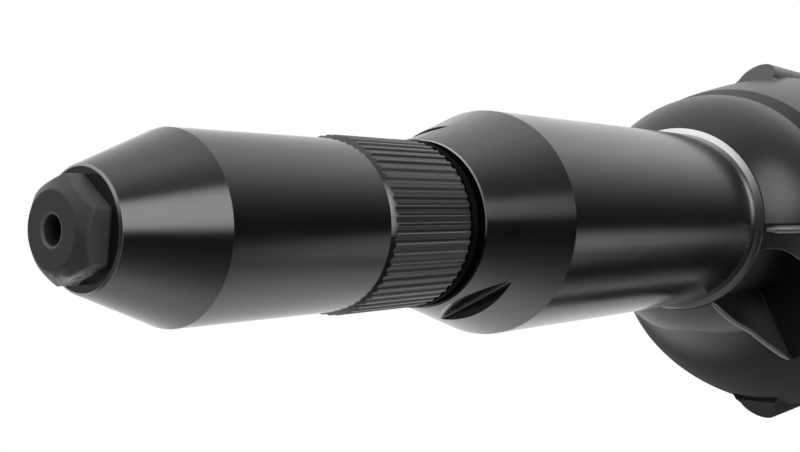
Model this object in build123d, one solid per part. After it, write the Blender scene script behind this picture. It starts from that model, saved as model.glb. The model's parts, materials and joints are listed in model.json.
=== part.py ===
from build123d import *
import math
import os

# An electric pull riveter: nosepiece, sleeves, screw drive, reduction gear, motor and pistol handle.
# Millimetres. The origin is the centre of the nosepiece's front face, +X runs along the barrel towards
# the motor, +Z is up, and the handle hangs down from the rear end.

os.makedirs("parts", exist_ok=True)

# Fits
RUN = 0.05
GAP = 0.3
FACE_GAP = 0.1

# Nosepiece
NOSE_BORE_R = 1.6
NOSE_FACE_R = 4.04
NOSE_BORE_CHAMFER = 0.15
NOSE_HEX_AF = 10.0
NOSE_HEX_TURN = 8.0
NOSE_HEX_CORNER_R = 0.45
NOSE_HEX_LENGTH = 3.36
NOSE_CHAMFER_LENGTH = 1.25
NOSE_THREAD_R = 4.0
NOSE_THREAD_LENGTH = 8.0
NOSE_TAIL_R = 2.2
NOSE_TAIL_LENGTH = 7.2

# Front sleeve
EDGE_CHAMFER = 0.2
SLEEVE_FACE_R = 6.66
SLEEVE_R = 11.0
SLEEVE_CONE_LENGTH = 10.82
SLEEVE_LENGTH = 25.48
SLEEVE_CHAMBER_LENGTH = 4.6
SPIGOT_R = 10.0
SPIGOT_GRIP_LENGTH = 16.3

# Ribbed lock ring and its seal
RING_R = 11.5
RING_LENGTH = 16.12
RING_RIBS = 56
RING_GROOVE_DEPTH = 0.3
RING_LAND_SHARE = 0.22
GROOVE_STEPS = 4
GROOVE_FULLNESS = 0.45
RING_CHAMFER = 0.7
RING_REAR_CHAMFER = 0.2
RING_FEED = 1.0
SEAL_WIRE_R = 0.8
SEAL_SIDES = 8
RING_BACK_GAP = 2.94

# Rear sleeve
BARREL_FRONT_R = 11.75
BARREL_R = 16.8
BARREL_CONE_LENGTH = 15.11
BARREL_LENGTH = 68.17
BARREL_BORE_R = 11.0
BARREL_THREAD_R = 14.5
BARREL_THREAD_LENGTH = 18.0
FLAT_HALF_AF = 12.1
FLAT_LENGTH = 6.7
FLAT_TURN = 26.0
FLAT_CORNER_R = 0.45
BEZEL_R = 17.9
BEZEL_LENGTH = 1.8
BEZEL_LAND = 0.4
BEZEL_STEPS = 4
BEZEL_SEAT_R = 16.2

# Jaws and draw train
STROKE = 20.0
JAW_COUNT = 3
JAW_ANGLE = 10.0
JAW_TRAVEL = 2.0
JAW_NOSE_GAP = 0.6
JAW_PUSHER_GAP = 0.2
JAW_LENGTH = 15.0
JAW_GRIP_R = 1.3
JAW_SLIT = 8.0
JAW_CASE_R = 8.0
JAW_CASE_MOUTH_R = 2.6
JAW_CASE_LIP = 1.66
JAW_CASE_FRONT_WALL = 1.1
JAW_CASE_THREAD_R = 6.4
JAW_CASE_THREAD_LENGTH = 7.0
JAW_CONE_FRONT_R = 3.0
PUSHER_HEAD_R = 5.2
PUSHER_HEAD_LENGTH = 2.0
PUSHER_STEM_R = 2.6
PUSHER_STEM_LENGTH = 8.6
PUSHER_BORE_R = 1.9
JAW_SPRING_R = 3.5
JAW_SPRING_WIRE_R = 0.4
JAW_SPRING_TURNS = 6
JAW_SPRING_SEAT = 15.0
WIRE_SIDES = 6
DRAW_TUBE_R = 8.0
DRAW_TUBE_LENGTH = 104.0
DRAW_TUBE_BORE_R = 2.2
DRAW_TUBE_BORE_END = 30.0
SCREW_SPIGOT_R = 5.0
SCREW_SPIGOT_LENGTH = 14.0
SCREW_R = 6.0
SCREW_LENGTH = 39.5
BUSH_LENGTH = 20.0
BUSH_BACK = 10.0
KEY_WIDTH = 3.6
KEY_R = 5.8

# Drive nut and its bearings
CASE_WALL = 5.0
THRUST_R = 14.0
THRUST_LENGTH = 6.0
NUT_FLANGE_R = 13.0
NUT_FLANGE_LENGTH = 3.0
NUT_R = 11.0
NUT_JOURNAL_R = 9.0
NUT_JOURNAL_LENGTH = 9.0
NUT_BEARING_R = 13.0
NUT_BEARING_LENGTH = 7.0
BEARING_RING_SHARE = 0.28

# Gears
PRESSURE_ANGLE = 25.0
BACKLASH = 0.16
FLANK_STEPS = 4
SLOW_MODULE = 1.0
FAST_MODULE = 0.8
GEAR_TEETH = 34
PINION_TEETH = 12
SLOW_FACE_WIDTH = 14.0
FAST_FACE_WIDTH = 8.0
ADDENDUM = 1.0
DEDENDUM = 1.25
TOOTH_ROOM = 1.5

# Lay shaft
LAY_SHAFT_R = 4.0
LAY_JOURNAL_R = 3.0
LAY_FRONT_BUSH_R = 6.0
LAY_FRONT_BUSH_LENGTH = 6.0
LAY_REAR_BUSH_R = 7.0

# Gear case
NECK_FACE_R = 18.0
NECK_MID_X = 7.4
NECK_MID_R = 23.35
NECK_R = 25.8
NECK_LENGTH = 17.0
NECK_RIM_LENGTH = 1.4
NECK_RIM_DROP = 1.0
NECK_RIM_MID_X = 0.85
NECK_RIM_MID_DROP = 0.3
SHOULDER_X = 22.5
SHOULDER_R = 27.4
CASE_TOP_R = 32.6
CASE_TOP_MID_X = 42.0
CASE_TOP_MID_R = 31.1
CASE_CONE_LENGTH = 52.0
CREASE_Z = -1.0
CREASE_TILT = 25.0
CREASE_ROUND = 0.6
CASE_LOW_DROP = 9.58
CASE_LOW_FRONT_R = 8.2
CASE_LOW_MID_X = 18.0
CASE_LOW_MID_R = 21.0
CASE_LOW_R = 34.26
CASE_LENGTH = 69.0
POCKET_EDGE_Y = 7.8
POCKET_EDGE_Z = -16.1
POCKET_TURN = 25.6
POCKET_WIDTH = 15.4
POCKET_LENGTH = 16.0
POCKET_FLOOR = 25.0
POCKET_CORNER_R = 2.5
POCKET_BOSS_R = 17.2
LUG_R = 3.9
LUG_INSET = 1.0
LUG_FLARE = 7.5
LUG_ROOT = 6.0
LUG_FRONT = 41.5
LUG_SLOPE = 35.0
PLATE_THICKNESS = 4.0
BOSS_R = 16.0

# Motor and its housing
FLANGE_LENGTH = 7.0
GEAR_ROOM = 10.5
EGG_LENGTH = 13.0
TAPER_LENGTH = 16.0
MOTOR_SHELL_R = 29.5
MOTOR_SHELL_WALL = 3.0
MOTOR_SHELL_LENGTH = 65.0
BULKHEAD_LIP = 1.5
MOTOR_SHAFT_R = 4.0
MOTOR_TAIL_R = 3.5
SHAFT_SHOULDER = 2.0
FRONT_BEARING_R = 11.0
FRONT_BEARING_LENGTH = 6.0
REAR_BEARING_R = 9.5
REAR_BEARING_LENGTH = 5.0
FAN_R = 24.0
FAN_LENGTH = 7.0
FAN_HUB_R = 8.0
FAN_BLADES = 11
FAN_BLADE_THICKNESS = 1.4
CORE_R = 15.5
CORE_LENGTH = 30.0
CORE_SLOTS = 12
CORE_SLOT_R = 2.0
AIR_GAP = 0.7
POLE_HALF_ANGLE = 52.0
YOKE_THICKNESS = 4.5
COIL_OVERHANG = 4.0
WINDING_LENGTH = 3.6
COMMUTATOR_R = 9.5
COMMUTATOR_LENGTH = 9.0
COMMUTATOR_BARS = 24
COMMUTATOR_SLIT = 0.4
COMMUTATOR_SLIT_DEPTH = 1.0
BRUSH_WIDTH = 5.0
BRUSH_DEPTH = 6.0
BRUSH_HOLDER_R = 4.6
BRUSH_HOLDER_GAP = 1.0
BRUSH_CAP_R = 5.5
BRUSH_CAP_LENGTH = 2.2
BRUSH_CAP_PROUD = 0.6
BRUSH_CAP_SLOT = 1.2
BRUSH_SPRING_ROOM = 4.0
VENT_COUNT = 6
VENT_WIDTH = 2.4
VENT_LENGTH = 9.0
VENT_PITCH = 11.0

# Handle
CUP_LENGTH = 25.0
CUP_ROUND = 10.0
CUP_WALL = 4.0
TAIL_BOSS_R = 12.5
GRIP_WALL = 3.0
GRIP_TOP_Z = -22.0
GRIP_TOP_BACK = 5.0
GRIP_TOP_DEPTH = 46.0
GRIP_TOP_WIDTH = 38.0
GRIP_WAIST_Z = -74.0
GRIP_WAIST_BACK = 7.0
GRIP_WAIST_DEPTH = 41.0
GRIP_WAIST_WIDTH = 33.0
GRIP_PALM_Z = -116.0
GRIP_PALM_BACK = 13.0
GRIP_PALM_DEPTH = 44.0
GRIP_PALM_WIDTH = 36.0
GRIP_END_Z = -156.0
GRIP_END_BACK = 20.0
GRIP_END_DEPTH = 47.0
GRIP_END_WIDTH = 38.0
GRIP_CORNER_R = 14.0
GRIP_STEPS = 6
GRIP_FOOT_HEIGHT = 4.0
GRIP_FOOT_INSET = 3.5
WIRE_WAY_WIDTH = 15.2
GRIP_ROOM_TOP_Z = -38.0
TRIGGER_TOP_Z = -46.0
TRIGGER_HEIGHT = 25.0
TRIGGER_WIDTH = 13.0
TRIGGER_REACH = 14.0
TRIGGER_HOLLOW = 3.5
TRIGGER_LIP = 2.0
TRIGGER_LIP_LENGTH = 2.5
TRIGGER_BODY = 10.0
TRIGGER_TRAVEL = 6.0
TRIGGER_ROUND = 1.8
TRIGGER_SPRING_R = 2.6
TRIGGER_SPRING_WIRE_R = 0.35
TRIGGER_SPRING_TURNS = 4
SWITCH_GAP = 2.0
SWITCH_LENGTH = 17.0
SWITCH_WIDTH = 17.0
SWITCH_ROUND = 1.0
SLIDER_BACK = -3.0
SLIDER_Z = -40.5
SLIDER_LENGTH = 9.0
SLIDER_HEIGHT = 5.0
SLIDER_PROUD = 3.0
SLIDER_TRAVEL = 2.0
SLIDER_ROUND = 1.5
LOCK_BACK = -3.0
LOCK_Z = -58.0
LOCK_R = 4.2
LOCK_PROUD = 2.5
LOCK_TRAVEL = 1.8
LOCK_ROUND = 1.2
INLET_R = 8.0
INLET_HOLE_R = 4.2
INLET_FLANGE_R = 10.0
INLET_FLANGE = 3.0
INLET_DEPTH = 10.0

# Fasteners
CASE_SCREW_R = 2.0
CASE_SCREW_LENGTH = 11.0
CASE_SCREW_HEAD_R = 3.5
CASE_SCREW_HEAD = 4.0
CASE_SCREW_SOCKET_AF = 3.0
CASE_SCREW_SOCKET_DEPTH = 2.5
CASE_SCREW_TIP_GAP = 1.0
HANDLE_SCREW_R = 1.6
HANDLE_SCREW_HEAD_R = 3.2
HANDLE_SCREW_HEAD = 2.4
HANDLE_SCREW_BOSS_R = 4.0
HANDLE_SCREW_GRIP = 9.0
HANDLE_SCREW_SUNK = 3.0
HANDLE_SCREW_PLACES = ((19.0, -36.5), (7.0, -88.0), (13.0, -118.0), (18.0, -139.5), (18.0, 13.0))

# Stations along the barrel
X_SLEEVE = NOSE_HEX_LENGTH
X_NOSE_THREAD_END = X_SLEEVE + NOSE_THREAD_LENGTH
X_NOSE_END = X_NOSE_THREAD_END + NOSE_TAIL_LENGTH
X_SLEEVE_CYLINDER = X_SLEEVE + SLEEVE_CONE_LENGTH
X_RING = X_SLEEVE_CYLINDER + SLEEVE_LENGTH
X_RING_END = X_RING + RING_LENGTH
X_BARREL = X_RING_END + RING_BACK_GAP
X_SPIGOT_END = X_BARREL + SPIGOT_GRIP_LENGTH
X_BARREL_CYLINDER = X_BARREL + BARREL_CONE_LENGTH
X_CASE = X_BARREL_CYLINDER + BARREL_LENGTH
X_BEZEL = X_CASE - BEZEL_LENGTH
X_BARREL_END = X_CASE + BARREL_THREAD_LENGTH
X_THRUST = X_BARREL_END + CASE_WALL
X_NUT = X_THRUST + THRUST_LENGTH + FACE_GAP
X_NUT_GEAR = X_NUT + NUT_FLANGE_LENGTH
X_NUT_JOURNAL = X_NUT_GEAR + SLOW_FACE_WIDTH + 2 * GAP
X_NUT_END = X_NUT_JOURNAL + NUT_JOURNAL_LENGTH
X_PLATE = X_CASE + CASE_LENGTH
X_MOTOR_HOUSING = X_PLATE + PLATE_THICKNESS
X_FAST_GEAR = X_MOTOR_HOUSING + 3 * GAP
X_FAST_GEAR_END = X_FAST_GEAR + FAST_FACE_WIDTH
X_BULKHEAD = X_MOTOR_HOUSING + GEAR_ROOM
X_FRONT_BEARING = X_BULKHEAD + BULKHEAD_LIP
X_FRONT_BEARING_END = X_FRONT_BEARING + FRONT_BEARING_LENGTH
X_FAN = X_FRONT_BEARING_END + SHAFT_SHOULDER
X_CORE = X_FAN + FAN_LENGTH + 2 * COIL_OVERHANG
X_CORE_END = X_CORE + CORE_LENGTH
X_COMMUTATOR = X_CORE_END + COIL_OVERHANG + GAP
X_COMMUTATOR_END = X_COMMUTATOR + COMMUTATOR_LENGTH
X_REAR_BEARING = X_COMMUTATOR_END + SHAFT_SHOULDER
X_SHAFT_END = X_REAR_BEARING + REAR_BEARING_LENGTH
X_CUP = X_MOTOR_HOUSING + MOTOR_SHELL_LENGTH
X_CUP_END = X_CUP + CUP_LENGTH
GRIP_TOP_X = X_CUP + GRIP_TOP_BACK
GRIP_WAIST_X = X_CUP + GRIP_WAIST_BACK
GRIP_PALM_X = X_CUP + GRIP_PALM_BACK
GRIP_END_X = X_CUP + GRIP_END_BACK
SLIDER_X = X_CUP + SLIDER_BACK
LOCK_X = X_CUP + LOCK_BACK
HANDLE_SCREWS = [(X_CUP + back, z) for back, z in HANDLE_SCREW_PLACES]

# Stations of the draw train, which slides along the same axis
X_JAW_CASE = X_NOSE_END - JAW_CASE_LIP
X_JAW_CONE = X_JAW_CASE + JAW_CASE_FRONT_WALL
X_JAWS = X_NOSE_END + JAW_NOSE_GAP
X_JAWS_END = X_JAWS + JAW_LENGTH
X_PUSHER = X_JAWS_END + JAW_PUSHER_GAP
X_PUSHER_HEAD_END = X_PUSHER + PUSHER_HEAD_LENGTH
X_DRAW_TUBE = X_PUSHER_HEAD_END + JAW_TRAVEL + GAP
X_JAW_CASE_END = X_DRAW_TUBE + JAW_CASE_THREAD_LENGTH
X_DRAW_TUBE_END = X_JAW_CASE_END + DRAW_TUBE_LENGTH
X_SPRING_SEAT = X_DRAW_TUBE + JAW_SPRING_SEAT
X_SCREW_SPIGOT = X_DRAW_TUBE_END - SCREW_SPIGOT_LENGTH
X_SCREW_END = X_DRAW_TUBE_END + SCREW_LENGTH
X_BUSH_END = X_CASE - BUSH_BACK
X_BUSH = X_BUSH_END - BUSH_LENGTH

# Shaft heights
LAY_Z = -SLOW_MODULE * (GEAR_TEETH + PINION_TEETH) / 2
MOTOR_Z = LAY_Z + FAST_MODULE * (GEAR_TEETH + PINION_TEETH) / 2
MOTOR_BORE_R = MOTOR_SHELL_R - MOTOR_SHELL_WALL
CASE_ROOM_R = SLOW_MODULE * (GEAR_TEETH / 2 + ADDENDUM) + TOOTH_ROOM
LAY_ROOM_R = SLOW_MODULE * (PINION_TEETH / 2 + ADDENDUM) + TOOTH_ROOM
X_CASE_ROOM = X_THRUST + THRUST_LENGTH + TOOTH_ROOM

BASE = (Align.CENTER, Align.CENTER, Align.MIN)
pieces = {}


def rod(x0, x1, r, y=0.0, z=0.0):
    """A round bar along X."""
    return Pos(x0, y, z) * Rot(0, 90, 0) * Cylinder(r, x1 - x0, align=BASE)


def tube(x0, x1, r_out, r_in, z=0.0):
    """A round tube along X."""
    return rod(x0, x1, r_out, z=z) - rod(x0, x1, r_in, z=z)


def cross_rod(x, z, y0, y1, r):
    """A round bar along Y."""
    return Pos(x, y0, z) * Rot(-90, 0, 0) * Cylinder(r, y1 - y0, align=BASE)


def block(x0, x1, y0, y1, z0, z1):
    """A square block between two corners."""
    centre = Pos((x0 + x1) / 2, (y0 + y1) / 2, (z0 + z1) / 2)
    return centre * Box(x1 - x0, y1 - y0, z1 - z0)


def turned(points, z=0.0):
    """A turned piece: a closed profile of (x, r) points, revolved about X."""
    profile = make_face(Polyline(*points, close=True))
    return Pos(0, 0, z) * revolve(Plane.XZ * profile, Axis.X)


def turned_curve(edges):
    """A turned piece whose closed profile is made of lines and arcs."""
    return revolve(Plane.XZ * make_face(edges), Axis.X)


def section_bar(section, x0, x1, y=0.0, z=0.0):
    """A section drawn as (y, z), extruded along X."""
    return Pos(x0, y, z) * extrude(Plane.YZ * section, x1 - x0, dir=(1, 0, 0))


def polar(r, degrees):
    angle = math.radians(degrees)
    return r * math.cos(angle), r * math.sin(angle)


def hexagon(af):
    """A hexagon with corners up and down."""
    return RegularPolygon(af / math.sqrt(3), 6, rotation=90)


def group(solids):
    """Separate solids that share one node."""
    return Compound(children=list(solids))


def coil_spring(x0, x1, r, wire_r, turns, y=0.0, z=0.0):
    """A helical spring along X, of wire drawn with six sides."""
    height = x1 - x0 - 2 * wire_r
    path = Helix(pitch=height / turns, height=height, radius=r)
    wire = Plane(path @ 0, z_dir=path % 0) * RegularPolygon(wire_r, WIRE_SIDES)
    return Pos(x0 + wire_r, y, z) * Rot(0, 90, 0) * sweep(wire, path=path)


def involute(angle):
    return math.tan(angle) - angle


def gear_section(teeth, module, tooth_at):
    """An involute gear's outline, with a tooth centred on the given direction in degrees."""
    pressure = math.radians(PRESSURE_ANGLE)
    pitch_r = teeth * module / 2
    base_r = pitch_r * math.cos(pressure)
    tip_r = pitch_r + ADDENDUM * module
    root_r = pitch_r - DEDENDUM * module
    start_r = max(base_r, root_r)
    half_at_pitch = (math.pi * module / 2 - BACKLASH) / (2 * pitch_r)
    flank = []
    for step in range(FLANK_STEPS + 1):
        r = start_r + (tip_r - start_r) * step / FLANK_STEPS
        spread = half_at_pitch + involute(pressure) - involute(math.acos(base_r / r))
        flank.append((r, math.degrees(spread)))
    points = []
    for tooth in range(teeth):
        centre = tooth_at + 360 * tooth / teeth
        if root_r < start_r:
            points.append(polar(root_r, centre - flank[0][1]))
        points += [polar(r, centre - spread) for r, spread in flank]
        points += [polar(r, centre + spread) for r, spread in reversed(flank)]
        if root_r < start_r:
            points.append(polar(root_r, centre + flank[0][1]))
    return make_face(Polyline(*points, close=True))


def ribbed_section():
    """The lock ring's outline: narrow lands with hollow grooves between them."""
    pitch = 360 / RING_RIBS
    land = pitch * RING_LAND_SHARE
    groove = pitch - land
    points = []
    for rib in range(RING_RIBS):
        first = rib * pitch - land / 2
        points.append(polar(RING_R, first))
        for step in range(GROOVE_STEPS + 1):
            share = step / GROOVE_STEPS
            depth = RING_GROOVE_DEPTH * math.sin(math.pi * share) ** GROOVE_FULLNESS
            points.append(polar(RING_R - depth, first + land + groove * share))
        points.pop()
    return make_face(Polyline(*points, close=True))


def sealed_bearing(x0, x1, r_out, r_in, z=0.0):
    """Outer ring, shield and inner ring of a sealed ball bearing."""
    ring = (r_out - r_in) * BEARING_RING_SHARE
    outer = tube(x0, x1, r_out, r_out - ring, z=z)
    shield = tube(x0 + GAP, x1 - GAP, r_out - ring, r_in + ring, z=z)
    inner = tube(x0, x1, r_in + ring, r_in, z=z)
    return group((outer, shield, inner))


def egg_bar(x0, x1, shrink=0.0):
    """The gear case's rear outline: a round top and a wider, lower bottom."""
    return rod(x0, x1, CASE_TOP_R - shrink) + rod(x0, x1, CASE_LOW_R - shrink, z=-CASE_LOW_DROP)


def lug_places():
    """Centre (y, z) and outward direction in degrees of the four screw lugs."""
    low = CASE_LOW_R - LUG_INSET
    return (
        (0.0, CASE_TOP_R - LUG_INSET, 90),
        (low, -CASE_LOW_DROP, 0),
        (0.0, -CASE_LOW_DROP - low, 270),
        (-low, -CASE_LOW_DROP, 180),
    )


def lugs(x0, x1):
    """Four screw lugs, round at the outside and flared where they join the case."""
    root = Polygon(
        (-LUG_ROOT, -LUG_FLARE),
        (0, -LUG_R),
        (0, LUG_R),
        (-LUG_ROOT, LUG_FLARE),
        align=None,
    )
    shape = root + Circle(LUG_R)
    bars = [section_bar(Rot(0, 0, turn) * shape, x0, x1, y=y, z=z) for y, z, turn in lug_places()]
    return bars[0] + bars[1:]


def lug_slants(x0):
    """Wedges that slant the front ends of the lugs back towards the outside."""
    height = 2 * LUG_R
    run = (height + LUG_INSET) / math.tan(math.radians(LUG_SLOPE))
    wedge = Polygon((x0, -LUG_INSET), (x0 + run, height), (x0, height), align=None)
    bar = extrude(Plane.XZ * wedge, LUG_FLARE + LUG_R, both=True)
    return [Pos(0, y, z) * Rot(turn - 90, 0, 0) * bar for y, z, turn in lug_places()]


def lug_holes(x0, x1, r):
    return [rod(x0, x1, r, y=y, z=z) for y, z, turn in lug_places()]


# Nosepiece: a hexagon with a coned front, a threaded shank and a tail that opens the jaws
def make_nosepiece():
    outline = fillet(hexagon(NOSE_HEX_AF).vertices(), NOSE_HEX_CORNER_R)
    hexagon_part = section_bar(Rot(0, 0, NOSE_HEX_TURN) * outline, 0, X_SLEEVE)
    corner_r = NOSE_HEX_AF / math.sqrt(3)
    cone = turned([(0, 0), (0, NOSE_FACE_R), (NOSE_CHAMFER_LENGTH, corner_r), (X_SLEEVE, corner_r), (X_SLEEVE, 0)])
    shank = rod(X_SLEEVE, X_NOSE_THREAD_END, NOSE_THREAD_R)
    tail = rod(X_NOSE_THREAD_END, X_NOSE_END, NOSE_TAIL_R)
    bore = rod(0, X_NOSE_END, NOSE_BORE_R)
    mouth_r = NOSE_BORE_R + NOSE_BORE_CHAMFER
    mouth = turned([(0, 0), (0, mouth_r), (NOSE_BORE_CHAMFER, NOSE_BORE_R), (NOSE_BORE_CHAMFER, 0)])
    return (hexagon_part & cone) + shank + tail - bore - mouth


# Front sleeve: a coned casing with a long threaded spigot behind it
def make_front_sleeve():
    bore_r = JAW_CASE_R + GAP
    slope = (SLEEVE_R - SLEEVE_FACE_R) / SLEEVE_CONE_LENGTH
    return turned([
        (X_SLEEVE, NOSE_THREAD_R),
        (X_SLEEVE, SLEEVE_FACE_R - EDGE_CHAMFER),
        (X_SLEEVE + EDGE_CHAMFER, SLEEVE_FACE_R + EDGE_CHAMFER * slope),
        (X_SLEEVE_CYLINDER, SLEEVE_R),
        (X_RING, SLEEVE_R),
        (X_RING, SPIGOT_R),
        (X_SPIGOT_END, SPIGOT_R),
        (X_SPIGOT_END, bore_r),
        (X_NOSE_THREAD_END + SLEEVE_CHAMBER_LENGTH, bore_r),
        (X_NOSE_THREAD_END, NOSE_THREAD_R),
    ])


# Lock ring: straight ribs all round, with a chamfer at each end that the grooves run out into
def make_lock_ring():
    front = X_RING + FACE_GAP
    inner = SPIGOT_R + RUN
    edge_r = RING_R - RING_CHAMFER
    blank = turned([
        (front, inner),
        (front, edge_r),
        (front + RING_CHAMFER, RING_R),
        (X_RING_END - RING_REAR_CHAMFER, RING_R),
        (X_RING_END, RING_R - RING_REAR_CHAMFER),
        (X_RING_END, inner),
    ])
    return blank & section_bar(ribbed_section(), front, X_RING_END)


def make_ring_seal():
    mid_r = SPIGOT_R + RUN + SEAL_WIRE_R
    centre = X_RING_END + FACE_GAP + SEAL_WIRE_R
    section = Pos(centre, mid_r) * RegularPolygon(SEAL_WIRE_R, SEAL_SIDES)
    return revolve(Plane.XZ * section, Axis.X)


# Rear sleeve: cone, two wrench flats, long cylinder and the threaded end that holds it in the gear case
def make_rear_sleeve():
    slope = (BARREL_R - BARREL_FRONT_R) / BARREL_CONE_LENGTH
    body = turned([
        (X_BARREL, SPIGOT_R),
        (X_BARREL, BARREL_FRONT_R - EDGE_CHAMFER),
        (X_BARREL + EDGE_CHAMFER, BARREL_FRONT_R + EDGE_CHAMFER * slope),
        (X_BARREL_CYLINDER, BARREL_R),
        (X_BEZEL, BARREL_R),
        (X_BEZEL, BEZEL_SEAT_R),
        (X_CASE, BEZEL_SEAT_R),
        (X_CASE, BARREL_THREAD_R),
        (X_BARREL_END, BARREL_THREAD_R),
        (X_BARREL_END, BARREL_BORE_R),
        (X_SPIGOT_END, BARREL_BORE_R),
        (X_SPIGOT_END, SPIGOT_R),
    ])
    below = block(X_BARREL, X_BARREL + FLAT_LENGTH, -BARREL_R, BARREL_R, -2 * BARREL_R, -FLAT_HALF_AF)
    corner = below.edges().filter_by(Axis.Y).group_by(Axis.X)[-1].sort_by(Axis.Z)[-1]
    below = fillet(corner, FLAT_CORNER_R)
    above = mirror(below, about=Plane.XY)
    return body - Rot(-FLAT_TURN, 0, 0) * (below + above)


# Bright ring at the root of the barrel: a narrow bead with a round front, seated on a step of the rear sleeve
def make_barrel_ring():
    round_length = BEZEL_LENGTH - BEZEL_LAND
    points = [(X_BEZEL, BEZEL_SEAT_R)]
    for step in range(BEZEL_STEPS + 1):
        out, up = polar(1, 90 * step / BEZEL_STEPS)
        points.append((X_BEZEL + round_length * (1 - out), BARREL_R + (BEZEL_R - BARREL_R) * up))
    return turned(points + [(X_CASE, BEZEL_R), (X_CASE, BEZEL_SEAT_R)])


def cone_r(x):
    """Radius of the jaw case's inner cone."""
    return JAW_CONE_FRONT_R + (x - X_JAW_CONE) * math.tan(math.radians(JAW_ANGLE))


def make_jaw_case():
    lip = JAW_CASE_R - JAW_CONE_FRONT_R - 2 * GAP
    cone_length = (JAW_CASE_THREAD_R - JAW_CONE_FRONT_R) / math.tan(math.radians(JAW_ANGLE))
    return turned([
        (X_JAW_CASE, JAW_CASE_MOUTH_R),
        (X_JAW_CASE, JAW_CASE_R - lip / 2),
        (X_JAW_CASE + lip / 2, JAW_CASE_R),
        (X_JAW_CASE_END, JAW_CASE_R),
        (X_JAW_CASE_END, JAW_CASE_THREAD_R),
        (X_JAW_CONE + cone_length, JAW_CASE_THREAD_R),
        (X_JAW_CONE, JAW_CONE_FRONT_R),
        (X_JAW_CONE, JAW_CASE_MOUTH_R),
    ])


def make_jaw(index):
    """One of the jaws: a wedge of a cone that slides on the jaw case's inner cone."""
    profile = make_face(Polyline(
        (X_JAWS, JAW_GRIP_R),
        (X_JAWS, cone_r(X_JAWS) - RUN),
        (X_JAWS_END, cone_r(X_JAWS_END) - RUN),
        (X_JAWS_END, JAW_GRIP_R),
        close=True,
    ))
    arc = 360 / JAW_COUNT - JAW_SLIT
    wedge = revolve(Plane.XZ * profile, Axis.X, arc)
    return Rot(index * 360 / JAW_COUNT - arc / 2, 0, 0) * wedge


def make_jaw_pusher():
    head = rod(X_PUSHER, X_PUSHER_HEAD_END, PUSHER_HEAD_R)
    stem = rod(X_PUSHER_HEAD_END, X_PUSHER_HEAD_END + PUSHER_STEM_LENGTH, PUSHER_STEM_R)
    return head + stem - rod(X_PUSHER, X_PUSHER_HEAD_END + PUSHER_STEM_LENGTH, PUSHER_BORE_R)


def make_draw_tube():
    spring_room = JAW_SPRING_R + JAW_SPRING_WIRE_R + 2 * GAP
    bore_end = X_SCREW_SPIGOT - DRAW_TUBE_BORE_END
    body = turned([
        (X_DRAW_TUBE, spring_room),
        (X_DRAW_TUBE, JAW_CASE_THREAD_R),
        (X_JAW_CASE_END, JAW_CASE_THREAD_R),
        (X_JAW_CASE_END, DRAW_TUBE_R),
        (X_DRAW_TUBE_END, DRAW_TUBE_R),
        (X_DRAW_TUBE_END, SCREW_SPIGOT_R),
        (X_SCREW_SPIGOT, SCREW_SPIGOT_R),
        (X_SCREW_SPIGOT, 0),
        (bore_end, 0),
        (bore_end, DRAW_TUBE_BORE_R),
        (X_SPRING_SEAT, DRAW_TUBE_BORE_R),
        (X_SPRING_SEAT, spring_room),
    ])
    half = KEY_WIDTH / 2 + GAP
    slot = block(X_BUSH - STROKE - GAP, X_BUSH_END + GAP, -half, half, KEY_R - GAP, DRAW_TUBE_R + GAP)
    return body - slot


def make_lead_screw():
    return rod(X_SCREW_SPIGOT, X_DRAW_TUBE_END, SCREW_SPIGOT_R) + rod(X_DRAW_TUBE_END, X_SCREW_END, SCREW_R)


def make_guide_bush():
    """Bush pressed into the barrel, with a key that keeps the draw tube from turning."""
    bush = tube(X_BUSH, X_BUSH_END, BARREL_BORE_R, DRAW_TUBE_R + RUN)
    half = KEY_WIDTH / 2
    return bush + block(X_BUSH, X_BUSH_END, -half, half, KEY_R, (DRAW_TUBE_R + BARREL_BORE_R) / 2)


def make_thrust_bearing():
    """Two washers with a roller cage between them."""
    washer = THRUST_LENGTH * BEARING_RING_SHARE
    inner = DRAW_TUBE_R + 2 * GAP
    end = X_THRUST + THRUST_LENGTH
    front = tube(X_THRUST, X_THRUST + washer, THRUST_R, inner)
    cage = tube(X_THRUST + washer, end - washer, THRUST_R - GAP, inner + GAP)
    rear = tube(end - washer, end, THRUST_R, inner)
    return group((front, cage, rear))


def make_drive_nut():
    flange = rod(X_NUT, X_NUT_GEAR, NUT_FLANGE_R)
    body = rod(X_NUT_GEAR, X_NUT_JOURNAL, NUT_R)
    journal = rod(X_NUT_JOURNAL, X_NUT_END, NUT_JOURNAL_R)
    return flange + body + journal - rod(X_NUT, X_NUT_END, SCREW_R + RUN)


def make_nut_gear():
    section = gear_section(GEAR_TEETH, SLOW_MODULE, 270)
    return section_bar(section, X_NUT_GEAR, X_NUT_GEAR + SLOW_FACE_WIDTH) - rod(
        X_NUT_GEAR, X_NUT_GEAR + SLOW_FACE_WIDTH, NUT_R
    )


def make_lay_shaft():
    """Shaft below the barrel's axis, with the slow pinion cut on it."""
    x0 = X_CASE_ROOM - LAY_FRONT_BUSH_LENGTH
    space_up = 90 + 180 / PINION_TEETH
    pinion = section_bar(
        gear_section(PINION_TEETH, SLOW_MODULE, space_up), X_NUT_GEAR, X_NUT_GEAR + SLOW_FACE_WIDTH, z=LAY_Z
    )
    journal = rod(x0, X_NUT_GEAR, LAY_JOURNAL_R, z=LAY_Z)
    shaft = rod(X_NUT_GEAR + SLOW_FACE_WIDTH, X_FAST_GEAR_END + GAP, LAY_SHAFT_R, z=LAY_Z)
    return pinion + journal + shaft


def make_lay_gear():
    section = gear_section(GEAR_TEETH, FAST_MODULE, 90)
    return section_bar(section, X_FAST_GEAR, X_FAST_GEAR_END, z=LAY_Z) - rod(
        X_FAST_GEAR, X_FAST_GEAR_END, LAY_SHAFT_R, z=LAY_Z
    )


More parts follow.
